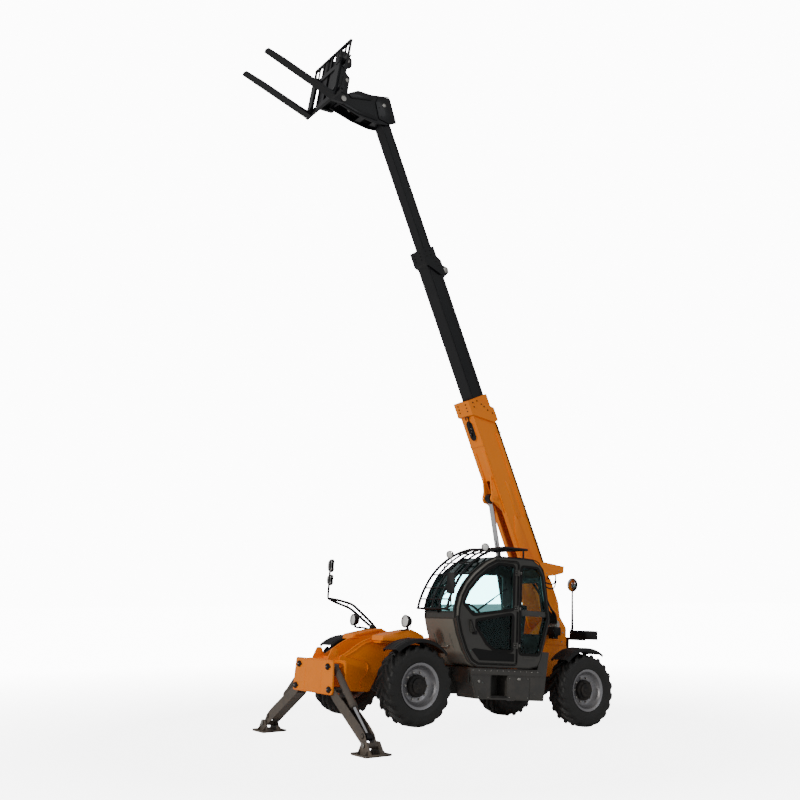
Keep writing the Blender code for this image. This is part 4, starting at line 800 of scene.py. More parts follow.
look = mirrorLook
arms = []
for lift in (0.0, look["gap"]):
    arms.append(tube([(1.55 - lift * 0.6, -0.5, 1.41), (1.575 - lift * 0.6, -0.64, 1.475 + lift * 0.4),
                      (1.62 - lift * 0.5, -0.94, 1.63 + lift * 0.7),
                      (1.66 - lift * 0.4, -1.1, 1.715 + lift * 0.8),
                      (1.76 - lift * 0.2, -1.19, 1.765 + lift * 0.7), (1.9, -1.215, 1.81 + lift * 0.45),
                      (2.015, -1.22, 1.855)], look["bar"], 12, 4))
arms.append(tube([(2.0, -1.22, 1.855), (2.03, -1.22, 1.875), (2.03, -1.22, 2.1), (2.03, -1.22, 2.5)], 0.018,
                 12, 5))
arms += [block((1.5, -0.545, 1.401), (1.6, -0.455, 1.417), 0.004)]
for place in ((1.606, -0.8, 1.565), (1.7, -1.12, 1.745)):
    arms.append(rod((place[0], place[1], place[2] - 0.02), (place[0] - 0.01, place[1], place[2] + 0.045),
                    0.01, 10))
upper, upperGlass = ovalHead((2.004, -1.235, 2.41), 0.09, 0.112, 0.04, 1)
lower, lowerGlass = ovalHead((2.004, -1.235, 2.17), 0.09, 0.092, 0.04, 1)
# pale plates on the fronts of the heads, a painted highlight standing in for the whitish glint on the mirror
# backs
paleGlintPlates = [ovalHead((2.024, -1.235, 2.41), 0.072, 0.092, 0.014, -1)[0],
          ovalHead((2.024, -1.235, 2.17), 0.072, 0.073, 0.014, -1)[0]]
clips = [block((2.01, -1.245, z - 0.018), (2.044, -1.195, z + 0.018), 0.004) for z in (2.17, 2.41)]
piece("mirror_right_arm", "chassis", {blackPlastic: arms + [upper, lower] + clips,
                                      mirrorGlass: [upperGlass, lowerGlass], clearLens: paleGlintPlates},
      replaces=("mirror_right",))
print("lamps and mirrors made")

# ---- boom details, along (x) and above (z) the boom line; each rides on its own stage
boomLook = {"outer": (0.18, -0.15, 0.29, 4.25), "mid": (0.14, -0.025, 0.255, 7.04),
            "inner": (0.1, 0.04, 0.235, 9.33), "collar": 0.035}


def collarBolts(half, under, top, end, radius):
    # two rows of set screws on each cheek of a collar, and three pairs underneath
    out = boomLook["collar"]
    tall = top - under
    cheek = [(end - 0.06, under + 0.05), (end - 0.06, under + 0.15), (end - 0.14, under + 0.05),
             (end - 0.14, under + 0.5 * tall), (end - 0.28, under + 0.72 * tall), (end - 0.36, top - 0.04),
             (end - 0.2, under + 0.6 * tall)]
    side = bothSides(bolts([(x, half + out, z) for x, z in cheek], (0, 1, 0), radius, 0.012))
    below = [bolts([(end - 0.06 - 0.06 * k, y, under - out) for k in range(3)
                    for y in (-half * 0.6, half * 0.6)], (0, 0, -1), radius, 0.012)]
    return side + below


def railStrip(half, height, start, end, wide, proud):
    # a long raised strip with tapered ends on both faces of a stage
    return bothSides(slab([(start, height - wide / 2), (end, height - wide / 2),
                           (end - wide, height + wide / 2), (start + wide, height + wide / 2)],
                          half - 0.002, half + proud, "xz", 0.002))


half, under, top, end = boomLook["outer"]
trims = railStrip(half, top - 0.06, 1.95, 3.55, 0.06, 0.018)
trims += bothSides(slab(roundCorners([(0.8, under + 0.03), (1.75, under + 0.03), (2.15, under + 0.18),
                                      (1.75, under + 0.2), (0.8, under + 0.2)], 0.04), half - 0.002,
                        half + 0.012, "xz", 0.003),
                   slab(roundCorners([(1.95, under + 0.2), (2.7, under + 0.2), (2.6, under + 0.27),
                                      (2.02, under + 0.27)], 0.02), half - 0.002, half + 0.006, "xz", 0.002))
trims += bothSides(tube([(0.55, half - 0.004, under + 0.004), (4.0, half - 0.004, under + 0.004)], 0.007, 8,
                        0), tube([(0.4, half - 0.004, top - 0.004), (3.74, half - 0.004, top - 0.004)],
                                 0.007, 8, 0))
trims += [block((3.4, -half - 0.004, under - 0.006), (3.46, half + 0.004, under + 0.004), 0.002)]
# lift lug reinforcement, welded over the slot
trims += bothSides(slab([(2.16, under - 0.006), (2.8, under - 0.006), (2.62, under - 0.085),
                         (2.5, under - 0.172), (2.43, under - 0.172), (2.36, under - 0.09)], 0.126, 0.14,
                        "xz", 0.003))
trims += bothSides(block((2.8, 0.08, under - 0.014), (3.3, 0.17, under + 0.002), 0.004))
# an oval hole in the underside with an orange rim; the hole is filled by a near-black plate, painted shade of
# the boom's hollow inside
angle = np.linspace(0, 2 * math.pi, 40, endpoint=False)
ring = np.stack([3.71 + np.sign(np.cos(angle)) * 0.1 + 0.085 * np.cos(angle), 0.085 * np.sin(angle)], 1)
hatchRim, holeShadePlate = (loft([np.insert(shrink(ring, inset), 2, under - drop, axis=1) for inset, drop in section])
                   for section in (((-0.012, -0.002), (-0.012, 0.01), (0.0, 0.012), (0.004, 0.002)),
                                   ((0.003, 0.001), (0.003, 0.013))))
trims.append(hatchRim)
cable = [tube([(0.45, y, top + 0.016), (1.2, y, top + 0.018), (2.4, y, top + 0.018),
               (3.66, y, top + 0.016)], 0.013, 10, 4) for y in (0.09, 0.125, 0.16)]
clampBars = [block((x, 0.07, top + 0.001), (x + 0.03, 0.178, top + 0.036), 0.004)
             for x in (0.7, 1.4, 2.1, 2.8, 3.5)]
cable += [tube([(0.6, side * (half + 0.012), top - 0.012), (2.0, side * (half + 0.012), top - 0.012),
                (3.7, side * (half + 0.012), top - 0.012)], 0.013, 8, 3) for side in (1, -1)]
fittings = [rod((3.64 + 0.05 * k, (-0.028 + 0.028 * k), under - 0.01),
                (3.66 + 0.05 * k, (-0.028 + 0.028 * k), under - 0.03), 0.012, 10) for k in range(3)]
bendy = [tube([(3.6, -0.02, under - 0.018), (3.7, 0.0, under - 0.034), (3.8, 0.02, under - 0.03),
               (3.96, 0.035, under - 0.012)], 0.009, 8, 6),
         tube([(3.92, -0.05, under - 0.014), (3.98, 0.0, under - 0.03), (3.95, 0.07, under - 0.016)], 0.008,
              8, 6)]
piece("boom_outer_trim", "boom_outer", {orangePaint: trims, blackPlastic: [holeShadePlate] + clampBars,
                                        hoseRubber: cable + bendy,
                                        machinedSteel: fittings,
                                        castIron: collarBolts(*boomLook["outer"], 0.012)}, boomFrame)
half, under, top, end = boomLook["mid"]
chain = [block((4.35 + 0.05 * k, -0.05, top + 0.0), (4.39 + 0.05 * k, -0.02, top + 0.009), 0.002)
         for k in range(46)]
strip = [block((3.6, 0.02, top - 0.002), (6.48, 0.1, top + 0.008), 0.003)]
strip += bothSides(block((3.6, half - 0.002, top - 0.06), (6.5, half + 0.006, top - 0.03), 0.002),
                   block((3.6, half - 0.002, under + 0.03), (6.7, half + 0.005, under + 0.044), 0.002))
sheave = bothSides(pinHead((end - 0.46, 0.1, top + 0.125), (0, 1, 0), 0.055, 0.01, 0.04, 0.014, 32))
piece("boom_mid_trim", "boom_mid", {blackPaint: strip, machinedSteel: chain + sheave,
                                    castIron: collarBolts(*boomLook["mid"], 0.01)}, boomFrame)
half, under, top, end = boomLook["inner"]
strip = bothSides(block((6.4, half - 0.002, top - 0.045), (9.2, half + 0.005, top - 0.025), 0.002),
                  block((6.4, half - 0.002, under + 0.02), (9.2, half + 0.005, under + 0.034), 0.002))
strip += [block((6.4, -0.06, top - 0.002), (9.15, 0.06, top + 0.006), 0.002)]

# ---- gooseneck, in the level frame: head plates, link bars, pins and the hoses between the cheeks
headPlate = roundCorners([(2.335, 10.585), (2.245, 10.56), (2.085, 10.15), (2.2, 10.085), (2.445, 10.11),
                          (2.535, 10.4), (2.5, 10.515)], 0.03)
linkBar = roundCorners([(2.58, 10.455), (2.66, 10.508), (2.9, 10.495), (3.1, 10.365), (3.02, 10.3),
                        (2.84, 10.35), (2.64, 10.4)], 0.025)
lowerBar = roundCorners([(2.46, 10.065), (2.86, 10.06), (3.2, 10.125), (3.22, 10.185), (2.86, 10.135),
                         (2.5, 10.15)], 0.02)
cheeks = bothSides(slab(headPlate, 0.139, 0.157, "xz", 0.004), slab(linkBar, 0.139, 0.155, "xz", 0.005),
                   slab(lowerBar, 0.139, 0.152, "xz", 0.004))
cheeks += bothSides(tube([(2.1, 0.146, 10.14), (2.25, 0.146, 10.555), (2.335, 0.146, 10.58),
                          (2.5, 0.146, 10.52)], 0.008, 8, 5))
collar = bothSides(pinHead((2.36, 0.153, 10.4), (0, 1, 0), 0.034, 0.007, 0.022, 0.011, 24, 0.008))
collar += bothSides(washer((3.22, 0.153, 10.18), (0, 1, 0), 0.006, 0.03, 0.005))
headBolts = bothSides(bolts([(2.3, 0.157, 10.5), (2.2, 0.157, 10.24), (2.4, 0.157, 10.17),
                             (2.46, 0.157, 10.32)], (0, 1, 0), 0.011, 0.006))
pipes = []
for k, y in enumerate((-0.085, -0.055, 0.062, 0.09)):
    drop = 0.012 * (k % 2)
    pipes.append(tube([(2.4, y, 10.16), (2.52, y, 10.105 + drop), (2.72, y, 10.115 + drop),
                       (2.9, y * 0.9, 10.175 + drop), (3.02, y, 10.26), (2.96, y, 10.32), (2.84, y, 10.3)],
                      0.011, 10, 6))
pipes += [tube([(2.44, 0.07, 10.53), (2.52, 0.085, 10.555), (2.6, 0.05, 10.55), (2.66, 0.02, 10.505)],
               0.009, 8, 6), tube([(2.46, -0.03, 10.53), (2.55, 0.0, 10.565), (2.62, 0.06, 10.54),
                                   (2.67, 0.09, 10.5)], 0.009, 8, 6)]
couplings = [rod((2.5, y, 10.515), (2.56, y, 10.545), 0.016, 10) for y in (-0.04, 0.03, 0.08)]
couplings += [rod((2.92, y * 0.9, 10.175), (2.96, y * 0.93, 10.205), 0.017, 10) for y in (-0.085, 0.09)]
inside = [block((2.42, -0.115, 10.5), (2.56, 0.115, 10.52), 0.004),
          rod((2.9, -0.12, 10.44), (2.9, 0.12, 10.44), 0.022, 16)]
stripHere = [moved(moved(shape, boomFrame), np.linalg.inv(levelFrame)) for shape in strip]
piece("gooseneck_trim", "boom_inner", {blackPaint: cheeks + inside + stripHere,
                                       machinedSteel: collar + couplings, castIron: headBolts,
                                       hoseRubber: pipes})

# ---- carriage details, in the carriage's own frame: x out of its face, z up the load rest
carriageLook = {"face": 0.215, "spread": 0.42, "rise": 9.5, "heel": (0.0713, -0.213)}
face = carriageLook["face"]
bars = [rod((face - 0.022, -0.6, 0.575), (face - 0.022, 0.6, 0.575), 0.018, 20),
        rod((face + 0.02, -0.635, -0.095), (face + 0.02, 0.635, -0.095), 0.03, 16)]
bars += [block((face + 0.006, y, 0.545), (face + 0.034, y + 0.028, 0.835), 0.004)
         for y in (-0.47, -0.155, 0.127, 0.44)]
bars += bothSides(slab([(0.02, 0.6), (0.1, 0.565), (0.21, 0.6), (0.21, 0.86), (0.12, 0.885), (0.0, 0.8),
                        (-0.035, 0.7)], 0.226, 0.236, "xz", 0.003),
                  slab([(-0.045, 0.32), (0.02, 0.3), (0.21, 0.22), (0.21, 0.1), (-0.045, 0.1)], 0.226,
                       0.234, "xz", 0.003))
hooks, latches = [], []
for side in (1, -1):
    y = side * carriageLook["spread"]
    hooks.append(block((face - 0.01, y - 0.055, 0.52), (face + 0.115, y + 0.055, 0.562), 0.008))
    hooks.append(block((face + 0.05, y - 0.06, 0.44), (face + 0.112, y + 0.06, 0.524), 0.008))
    latches.append(rod((face + 0.08, y, 0.55), (face + 0.08, y, 0.6), 0.014, 14))
eyes = bothSides(pinHead((0.06, 0.226, 0.735), (0, 1, 0), 0.04, 0.01, 0.026, 0.016, 28),
                 washer((0.0, 0.226, 0.37), (0, 1, 0), 0.01, 0.034, 0.01),
                 washer((0.0, 0.226, 0.0), (0, 1, 0), 0.01, 0.05, 0.014, 28))
piece("carriage_trim", "carriage", {blackPaint: bars + hooks, machinedSteel: eyes + latches}, carriageFrame)
rise = math.radians(carriageLook["rise"])
for label, side in (("left", 1), ("right", -1)):
    heel = np.array([face + carriageLook["heel"][0], carriageLook["heel"][1]])
    ahead, over = np.array([math.cos(rise), math.sin(rise)]), np.array([-math.sin(rise), math.cos(rise)])
    y = side * carriageLook["spread"]
    fillet = [tuple(heel + ahead * 0.045 + over * 0.048), tuple(heel + ahead * 0.16 + over * 0.046),
              tuple(heel + ahead * 0.07 + over * 0.075), (face + 0.101, -0.04)]
    edge, tip = (heel + ahead * reach + over * 0.01 for reach in (1.312, 1.33))
    tipRim = [tube([(edge[0], y - 0.068, edge[1]), (tip[0], y, tip[1]), (edge[0], y + 0.068, edge[1])],
                   0.01, 8, 6)]
    piece(f"fork_{label}_heel", "carriage",
          {blackPaint: [slab(fillet, y - 0.07, y + 0.07, "xz", 0.004)] + tipRim}, carriageFrame)
print("boom, gooseneck and carriage trimmed")

# ---- cab: seals, pillars, panel, door furniture
cabLook = {"wall": 1.15}
cabSide = [(0.64, 0.9), (0.78, 0.965), (0.9, 1.13), (1.02, 1.39), (1.085, 1.62), (1.08, 1.78), (1.03, 1.98),
           (0.93, 2.16), (0.77, 2.34), (0.53, 2.52), (0.3, 2.625), (-0.45, 2.635), (-0.64, 2.53),
           (-0.72, 2.38), (-0.85, 1.69), (-0.66, 1.04), (-0.6, 0.94), (-0.42, 0.9)]
doorSide = [(0.62, 0.95), (0.74, 1.005), (0.85, 1.15), (0.965, 1.4), (1.03, 1.62), (1.025, 1.77),
            (0.975, 1.95), (0.88, 2.12), (0.725, 2.295), (0.5, 2.465), (0.29, 2.565), (-0.15, 2.57),
            (-0.15, 0.95)]
windowHigh = [(-0.05, 1.82), (0.74, 1.7), (0.93, 1.86), (0.84, 2.04), (0.66, 2.24), (0.46, 2.4),
              (0.26, 2.5), (-0.05, 2.5)]
windowLow = [(-0.05, 1.17), (0.3, 1.17), (0.46, 1.27), (0.72, 1.585), (-0.05, 1.73)]
windowRear = [(-0.61, 1.13), (-0.22, 1.13), (-0.22, 2.5), (-0.55, 2.5), (-0.64, 2.38), (-0.78, 1.7)]


def band(outline, outside, inside, low, high, corner=0.05):
    # a closed strip between two offsets of an outline, its four faces joined into a ring
    ring = distinct(roundCorners(outline, corner, 4))
    rims = [(shrink(ring, inset), level)
            for inset, level in ((outside, low), (outside + 0.002, high), (inside - 0.002, high),
                                 (inside, low))]
    rings = np.stack([np.insert(rim, 1, level, axis=1) for rim, level in rims])
    points, quads, caps = loft(rings, capped=False)
    count = len(ring)
    here = np.arange(count)
    after = (here + 1) % count
    closing = np.stack([3 * count + here, 3 * count + after, after, here], 1)
    return points, np.vstack([quads, closing]), caps


wall = cabLook["wall"]
doorSeals = [band(outline, -0.038, 0.01, wall - 0.004, wall + 0.008) for outline in (windowHigh, windowLow)]
doorSeals.append(band(doorSide, 0.004, 0.018, wall - 0.003, wall + 0.007, 0.06))
gasket = [band(doorSide, -0.02, -0.006, wall - 0.006, wall + 0.004, 0.06),
          band(windowRear, -0.034, 0.01, wall - 0.004, wall + 0.008)]
gasket.append(band(cabSide, 0.004, 0.014, wall - 0.004, wall + 0.003, 0.05))
strip = [(1.075, 1.655), (1.07, 1.78), (1.022, 1.975), (0.923, 2.153), (0.763, 2.332), (0.524, 2.511),
         (0.32, 2.61)]
inner = [(0.345, 2.572), (0.495, 2.492), (0.73, 2.315), (0.892, 2.135), (0.988, 1.965), (1.036, 1.775),
         (1.04, 1.655)]
pillar = [slab(strip + inner, wall - 0.004, wall + 0.006, "xz", 0.003)]
front = [(0.655, 0.915), (0.79, 0.985), (0.905, 1.14), (1.025, 1.395), (1.085, 1.6), (1.098, 1.6),
         (1.036, 1.388), (0.914, 1.128), (0.797, 0.968), (0.66, 0.897)]
panel = [slab(front, 0.335, 1.085, "xz", 0.004)]
panel += [slab([(0.92, 1.15), (1.03, 1.38), (1.045, 1.38), (0.935, 1.143)], y, y + 0.012, "xz", 0.003)
          for y in (0.5, 0.71, 0.92)]
hinges, hingeBolts = [], []
for z in (1.25, 1.83, 2.4):
    hinges += [block((-0.215, wall - 0.002, z - 0.024), (-0.16, wall + 0.012, z + 0.024), 0.004),
               rod((-0.15, wall + 0.013, z - 0.035), (-0.15, wall + 0.013, z + 0.035), 0.01, 16)]
    hingeBolts += [(-0.2, wall + 0.012, z - 0.012), (-0.2, wall + 0.012, z + 0.012)]
frontPost = [tube([(x + 0.006, y, z) for x, z in [(1.085, 1.62), (1.08, 1.78), (1.03, 1.98), (0.93, 2.16),
                                                  (0.77, 2.34), (0.53, 2.52), (0.3, 2.628)]], 0.011, 8, 3)
             for y in (0.325, 1.128)]
roofEdge = [tube([(0.3, 1.143, 2.628), (-0.45, 1.143, 2.637), (-0.63, 1.143, 2.54), (-0.715, 1.143, 2.385),
                  (-0.845, 1.143, 1.69)], 0.009, 8, 4)]
wiper = [rod((1.092, 0.7, 1.7), (1.118, 0.7, 1.725), 0.016, 16),
         tube([(1.113, 0.7, 1.72), (1.11, 0.74, 1.85), (1.07, 0.8, 1.99)], 0.006, 8, 4),
         tube([(1.108, 0.7, 1.86), (1.08, 0.8, 1.965), (1.035, 0.9, 2.06)], 0.008, 6, 4)]
pocket = [slab([(-0.1, 1.0), (0.6, 1.0), (0.76, 1.16), (0.7, 1.18), (-0.1, 1.12)], wall - 0.003,
               wall + 0.005, "xz", 0.003)]
rearBits = [block((-0.765, wall - 0.016, 1.725), (-0.225, wall - 0.006, 1.815), 0.003),
            block((-0.5, wall + 0.002, 1.04), (-0.3, wall + 0.008, 1.075), 0.003)]
hook = [rod((0.955, 0.6, 1.2), (0.99, 0.6, 1.185), 0.012, 12),
        rod((0.955, 0.82, 1.2), (0.99, 0.82, 1.185), 0.012, 12)]
grip = [tube([(0.985, 0.6, 1.187), (1.0, 0.64, 1.176), (1.0, 0.78, 1.176), (0.985, 0.82, 1.187)], 0.009, 10,
             5)]
piece("cab_trim", "chassis", {sealRubber: gasket + frontPost + roofEdge + wiper, taupePaint: pillar + panel,
                              charcoalPaint: hinges + rearBits,
                              machinedSteel: [bolts(hingeBolts, (0, 1, 0), 0.008, 0.006)] + hook + grip})
handle = [tube([(0.8, wall + 0.004, 1.6), (0.81, wall + 0.045, 1.59), (0.775, wall + 0.05, 1.5),
                (0.735, wall + 0.045, 1.42), (0.725, wall + 0.004, 1.41)], 0.01, 10, 5),
          block((0.66, wall - 0.002, 1.385), (0.755, wall + 0.01, 1.445), 0.005)]
leaves = [block((-0.14, wall - 0.002, z - 0.02), (-0.07, wall + 0.01, z + 0.02), 0.004)
          for z in (1.25, 1.83, 2.4)]
strut = [rod((0.62, 1.085, 1.76), (0.3, 1.085, 1.965), 0.014, 12),
         rod((0.3, 1.085, 1.965), (0.06, 1.085, 2.12), 0.01, 12)]
latch = [block((0.55, 1.075, 1.6), (0.72, 1.1, 1.645), 0.006),
         rod((0.05, 1.08, 2.12), (0.05, 1.112, 2.12), 0.014, 12),
         rod((0.63, 1.08, 1.755), (0.63, 1.112, 1.755), 0.014, 12)]
leafBolts = [(x, wall + 0.01, z) for x in (-0.125, -0.09) for z in (1.25, 1.83, 2.4)]
# a near-black sheet just inside the lower pane and shaped like it, painted shade of the cab's inside, with a
# sill block under the pane
shadeSheetAndSill = [slab(roundCorners([(-0.07, 1.15), (0.31, 1.15), (0.48, 1.25), (0.745, 1.595), (-0.07, 1.745)],
                            0.04, 3), 1.09, 1.1, "xz", 0.003),
          block((-0.04, 1.02, 1.16), (0.4, 1.092, 1.19), 0.006)]
piece("cab_door_trim", "cab_door", {sealRubber: doorSeals + pocket + shadeSheetAndSill,
                                    blackPlastic: handle + leaves + latch + strut,
                                    machinedSteel: [bolts(leafBolts, (0, 1, 0), 0.007, 0.005)]})
print("cab trimmed")

# ---- guard over the windscreen, with work lamps and the driver's mirror
guardRun = [(1.24, 1.75), (1.2, 1.9), (1.12, 2.08), (0.98, 2.3), (0.78, 2.5), (0.52, 2.67), (0.22, 2.78),
            (-0.05, 2.797), (-0.35, 2.8)]
screenGuardLook = {"first": 0.33, "pitch": 0.18, "edgeBar": 0.021, "bar": 0.016, "lean": 0.05, "swing": 0.42}
guardBars = []
for index in range(5):
    lean = screenGuardLook["lean"] * (index / 4) ** 2
    y = screenGuardLook["first"] + screenGuardLook["pitch"] * index
    thick = screenGuardLook["edgeBar" if index in (0, 4) else "bar"]
    guardBars.append(tube([(x - lean, y, z) for x, z in guardRun], thick, 12, 5))
for spot in (0, 1, 2, 3, 4, 5, 6, 8):
    x, z = guardRun[spot]
    guardBars.append(tube([(x, 0.315, z), (x - 0.012, 0.69, z), (x - 0.05, 1.065, z)], 0.018
                          if spot in (0, 8) else 0.012, 10, 4))
for y, lean in ((0.4, 0.003), (0.98, 0.038)):
    guardBars += [rod((-0.35 - lean, y, 2.634), (-0.35 - lean, y, 2.8), 0.016, 14),
                  rod((1.084, y, 1.735), (1.24 - lean, y, 1.75), 0.016, 14),
                  block((-0.39 - lean, y - 0.035, 2.634), (-0.31 - lean, y + 0.035, 2.646), 0.003)]
    guardBars.append(tube([(0.74, y, 2.36), (0.8, y, 2.41), (0.8 - lean, y, 2.47)], 0.011, 10, 4))
guardBars += [tube([(1.19, 0.98, 1.76), (1.19, 1.14, 1.79), (1.19, 1.145, 1.86), (1.19, 1.14, 2.02)], 0.011,
                   12, 5)]
casing = slab(roundCorners(rectangle((1.06, 1.98), (1.2, 2.3)), 0.035, 4), 1.18, 1.215, "yz", 0.01)
silver = slab(roundCorners(rectangle((1.072, 1.992), (1.188, 2.288)), 0.028, 4), 1.172, 1.182, "yz", 0.002)
lampBodies, lampFaces = [], []
for centre, direction in (((0.77, 0.5, 2.64), (1, 0.35, -0.25)), ((0.38, 0.93, 2.78), (1, 0.45, -0.25))):
    bowl, lens = workLamp(centre, direction, 0.066, 0.06)
    lampBodies.append(bowl)
    lampFaces.append(lens)
    lampBodies.append(rod((centre[0] - 0.03, centre[1], centre[2] - 0.135),
                          (centre[0] - 0.03, centre[1], centre[2] - 0.02), 0.009, 10))
swing = np.eye(4)
angle = screenGuardLook["swing"]
swing[:2, :2] = [[math.cos(angle), -math.sin(angle)], [math.sin(angle), math.cos(angle)]]
swing[:2, 3] = np.array([1.19, 1.13]) - swing[:2, :2] @ (1.1975, 1.13)
casing, silver = moved(casing, swing), moved(silver, swing)
piece("windscreen_guard_frame", "chassis", {blackPaint: guardBars, blackPlastic: lampBodies + [casing],
                                            mirrorGlass: [silver], clearLens: lampFaces},
      replaces=("windscreen_guard",))

# ---- inside the cab: steering wheel cover, console, levers, seat base
angle = np.linspace(0, 2 * math.pi, 49)
across1, across2 = np.array([0.0, 1.0, 0.0]), unit((0.22, 0.0, 0.24))
ringPath = np.array([0.42, 0.71, 1.72]) + 0.19 * (np.cos(angle)[:, None] * across1
                                                  + np.sin(angle)[:, None] * across2)
wheelRim = [tube(ringPath, 0.0165, 12, 0)]
hub = [lathe([(0.01, 0.0), (0.052, 0.002), (0.046, 0.016), (0.01, 0.022)], (0.417, 0.71, 1.728),
             (-0.737, 0, 0.675), 28)]
knob = [lathe([(0.008, 0.0), (0.01, 0.03), (0.024, 0.04), (0.024, 0.06), (0.008, 0.07)], ringPath[18]
              + np.array([0, 0, 0.012]), (-0.737, 0, 0.675), 20)]
console = [block((0.5, 0.46, 1.5), (0.7, 0.62, 1.66), 0.014),
           block((0.44, 0.5, 1.6), (0.49, 0.62, 1.7), 0.008)]
console += [rod((0.6, 0.86, 1.545), (0.56, 1.0, 1.68), 0.007, 10),
            rod((0.62, 0.56, 1.55), (0.54, 0.44, 1.7), 0.007, 10)]
armRest = [block((-0.42, 0.365, 1.42), (-0.02, 0.445, 1.475), 0.018),
           block((-0.36, 0.38, 1.16), (-0.22, 0.43, 1.43), 0.01)]
stick = [rod((-0.06, 0.405, 1.47), (-0.03, 0.405, 1.56), 0.012, 12),
         lathe([(0.01, 0), (0.026, 0.02), (0.03, 0.06), (0.018, 0.1), (0.006, 0.11)], (-0.03, 0.405, 1.55),
               (0.2, 0, 1), 20)]
bellows = [lathe([(0.16, 0.0), (0.19, 0.02), (0.16, 0.04), (0.19, 0.06), (0.16, 0.08), (0.18, 0.1),
                  (0.15, 0.115)], (-0.22, 0.71, 1.09), (0, 0, 1), 36)]
baseBox = [block((-0.45, 0.5, 0.955), (0.0, 0.92, 1.09), 0.012),
           block((-0.47, 0.49, 1.185), (0.02, 0.93, 1.205), 0.008)]
rails = [rod((-0.47, 0.56, 1.17), (0.02, 0.56, 1.17), 0.012, 12),
         rod((-0.47, 0.86, 1.17), (0.02, 0.86, 1.17), 0.012, 12)]
piece("cab_controls", "chassis", {blackPlastic: wheelRim + hub + knob + console + armRest,
                                  hoseRubber: stick})
seatFrame = piece("seat_base", "chassis", {blackPlastic: baseBox, sealRubber: bellows,
                                           machinedSteel: rails})


seatLook = {"from": 0.485, "to": 0.935, "middle": 0.71, "voxel": 0.011, "pressure": 4.0, "stiffness": 40.0,
            "mostDrift": 0.016, "wing": 0.016, "seamDepth": 0.008, "seamWidth": 0.007}


def paddedShape(name, outline, outward, seams):
    # a rounded block, inflated by cloth pressure, whose drift from the block is capped
    look = seatLook
    points, quads, caps = slab(roundCorners(outline, 0.03, 4), look["from"], look["to"], "xz", 0.022)
    points = points @ levelFrame[:3, :3].T + levelFrame[:3, 3]
    data = bpy.data.meshes.new(name)
    data.from_pydata(points, [], quads.tolist() + caps)
    made = bpy.data.objects.new(name, data)
    bpy.context.scene.collection.objects.link(made)
    remesh = made.modifiers.new("even", "REMESH")
    remesh.mode, remesh.voxel_size = "VOXEL", look["voxel"]
    settled = made.modifiers.new("fill", "CLOTH")
    settled.settings.use_pressure = True
    settled.settings.uniform_pressure_force = look["pressure"]
    settled.settings.tension_stiffness = settled.settings.compression_stiffness = look["stiffness"]
    settled.settings.effector_weights.gravity = 0.0
    bpy.context.scene.frame_set(1)
    first = made.evaluated_get(bpy.context.evaluated_depsgraph_get()).to_mesh()
    rest = np.array([vertex.co[:] for vertex in first.vertices])
    for step in range(2, 21):
        bpy.context.scene.frame_set(step)
    last = bpy.data.meshes.new_from_object(made.evaluated_get(bpy.context.evaluated_depsgraph_get()))
    reached = np.array([vertex.co[:] for vertex in last.vertices])
    if len(reached) == len(rest):
        drift = reached - rest
        size = np.linalg.norm(drift, axis=1, keepdims=True)
        reached = rest + drift * np.minimum(1.0, look["mostDrift"] / np.maximum(size, 1e-9))
    # the side wings stand up, and the surface is drawn in along each seam
    frameHere = (reached - levelFrame[:3, 3]) @ levelFrame[:3, :3]
    groove = sum(np.exp(-((frameHere[:, axis] - place) / look["seamWidth"]) ** 2) for axis, place in seams)
    wing = np.clip((np.abs(frameHere[:, 1] - look["middle"]) - 0.13) / 0.05, 0, 1)
    out = unit(outward) @ levelFrame[:3, :3].T
    facing = (((reached - reached.mean(0)) @ out) > 0)[:, None]
    reached += facing * out * (wing[:, None] * look["wing"] - groove[:, None] * look["seamDepth"])
    last.vertices.foreach_set("co", reached.ravel())
    made.modifiers.clear()
    made.data = last
    last.materials.clear()
    last.materials.append(seatCloth)
    last.shade_smooth()
    finer = made.modifiers.new("finer", "SUBSURF")
    finer.levels = finer.render_levels = 1
    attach(made, "chassis")
    return made


cushion = paddedShape("seat_cushion", [(-0.47, 1.215), (0.035, 1.215), (0.035, 1.312), (-0.4, 1.312),
                                       (-0.47, 1.3)], (0.15, 0, 1.0), [(1, 0.58), (1, 0.84), (0, -0.12)])
back = paddedShape("seat_back", [(-0.485, 1.33), (-0.4, 1.335), (-0.465, 1.925), (-0.56, 1.915)],
                   (1.0, 0, 0.12), [(1, 0.58), (1, 0.84), (2, 1.52), (2, 1.74)])
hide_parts("seat")
print("seat and controls made")

# ---- belly box: front plate, sill, step tread, toolbox lid, tank cap
bellyLook = {"outer": 1.12, "treads": 7, "treadPitch": 0.03, "rivetPitch": 0.12}
outer = bellyLook["outer"]
bellyPlates = [slab([(0.36, 0.44), (0.6, 0.44), (0.7, 0.7), (0.725, 0.76), (0.36, 0.76)], outer - 0.003,
                    outer + 0.006, "xz", 0.003),
               slab(rectangle((-0.44, 0.43), (-0.02, 0.76)), outer - 0.003, outer + 0.006, "xz", 0.003),
               slab([(-0.76, 0.43), (-0.47, 0.43), (-0.47, 0.76), (-0.8, 0.76)], outer - 0.003,
                    outer + 0.006, "xz", 0.003)]
sill = [slab([(-0.8, 0.785), (0.735, 0.785), (0.748, 0.865), (-0.62, 0.865)], outer - 0.003, outer + 0.01,
             "xz", 0.004)]
lobes = [slab(roundCorners([(0.4, 0.55), (0.47, 0.47), (0.56, 0.5), (0.6, 0.6), (0.655, 0.7), (0.6, 0.745),
                            (0.52, 0.7), (0.46, 0.64)], 0.045, 4), outer + 0.004, outer + 0.014, "xz", 0.004)]
lobes += [slab([(0.727, 0.66), (0.757, 0.66), (0.757, 0.86), (0.744, 0.86)], 0.66, 1.08, "xz", 0.003)]
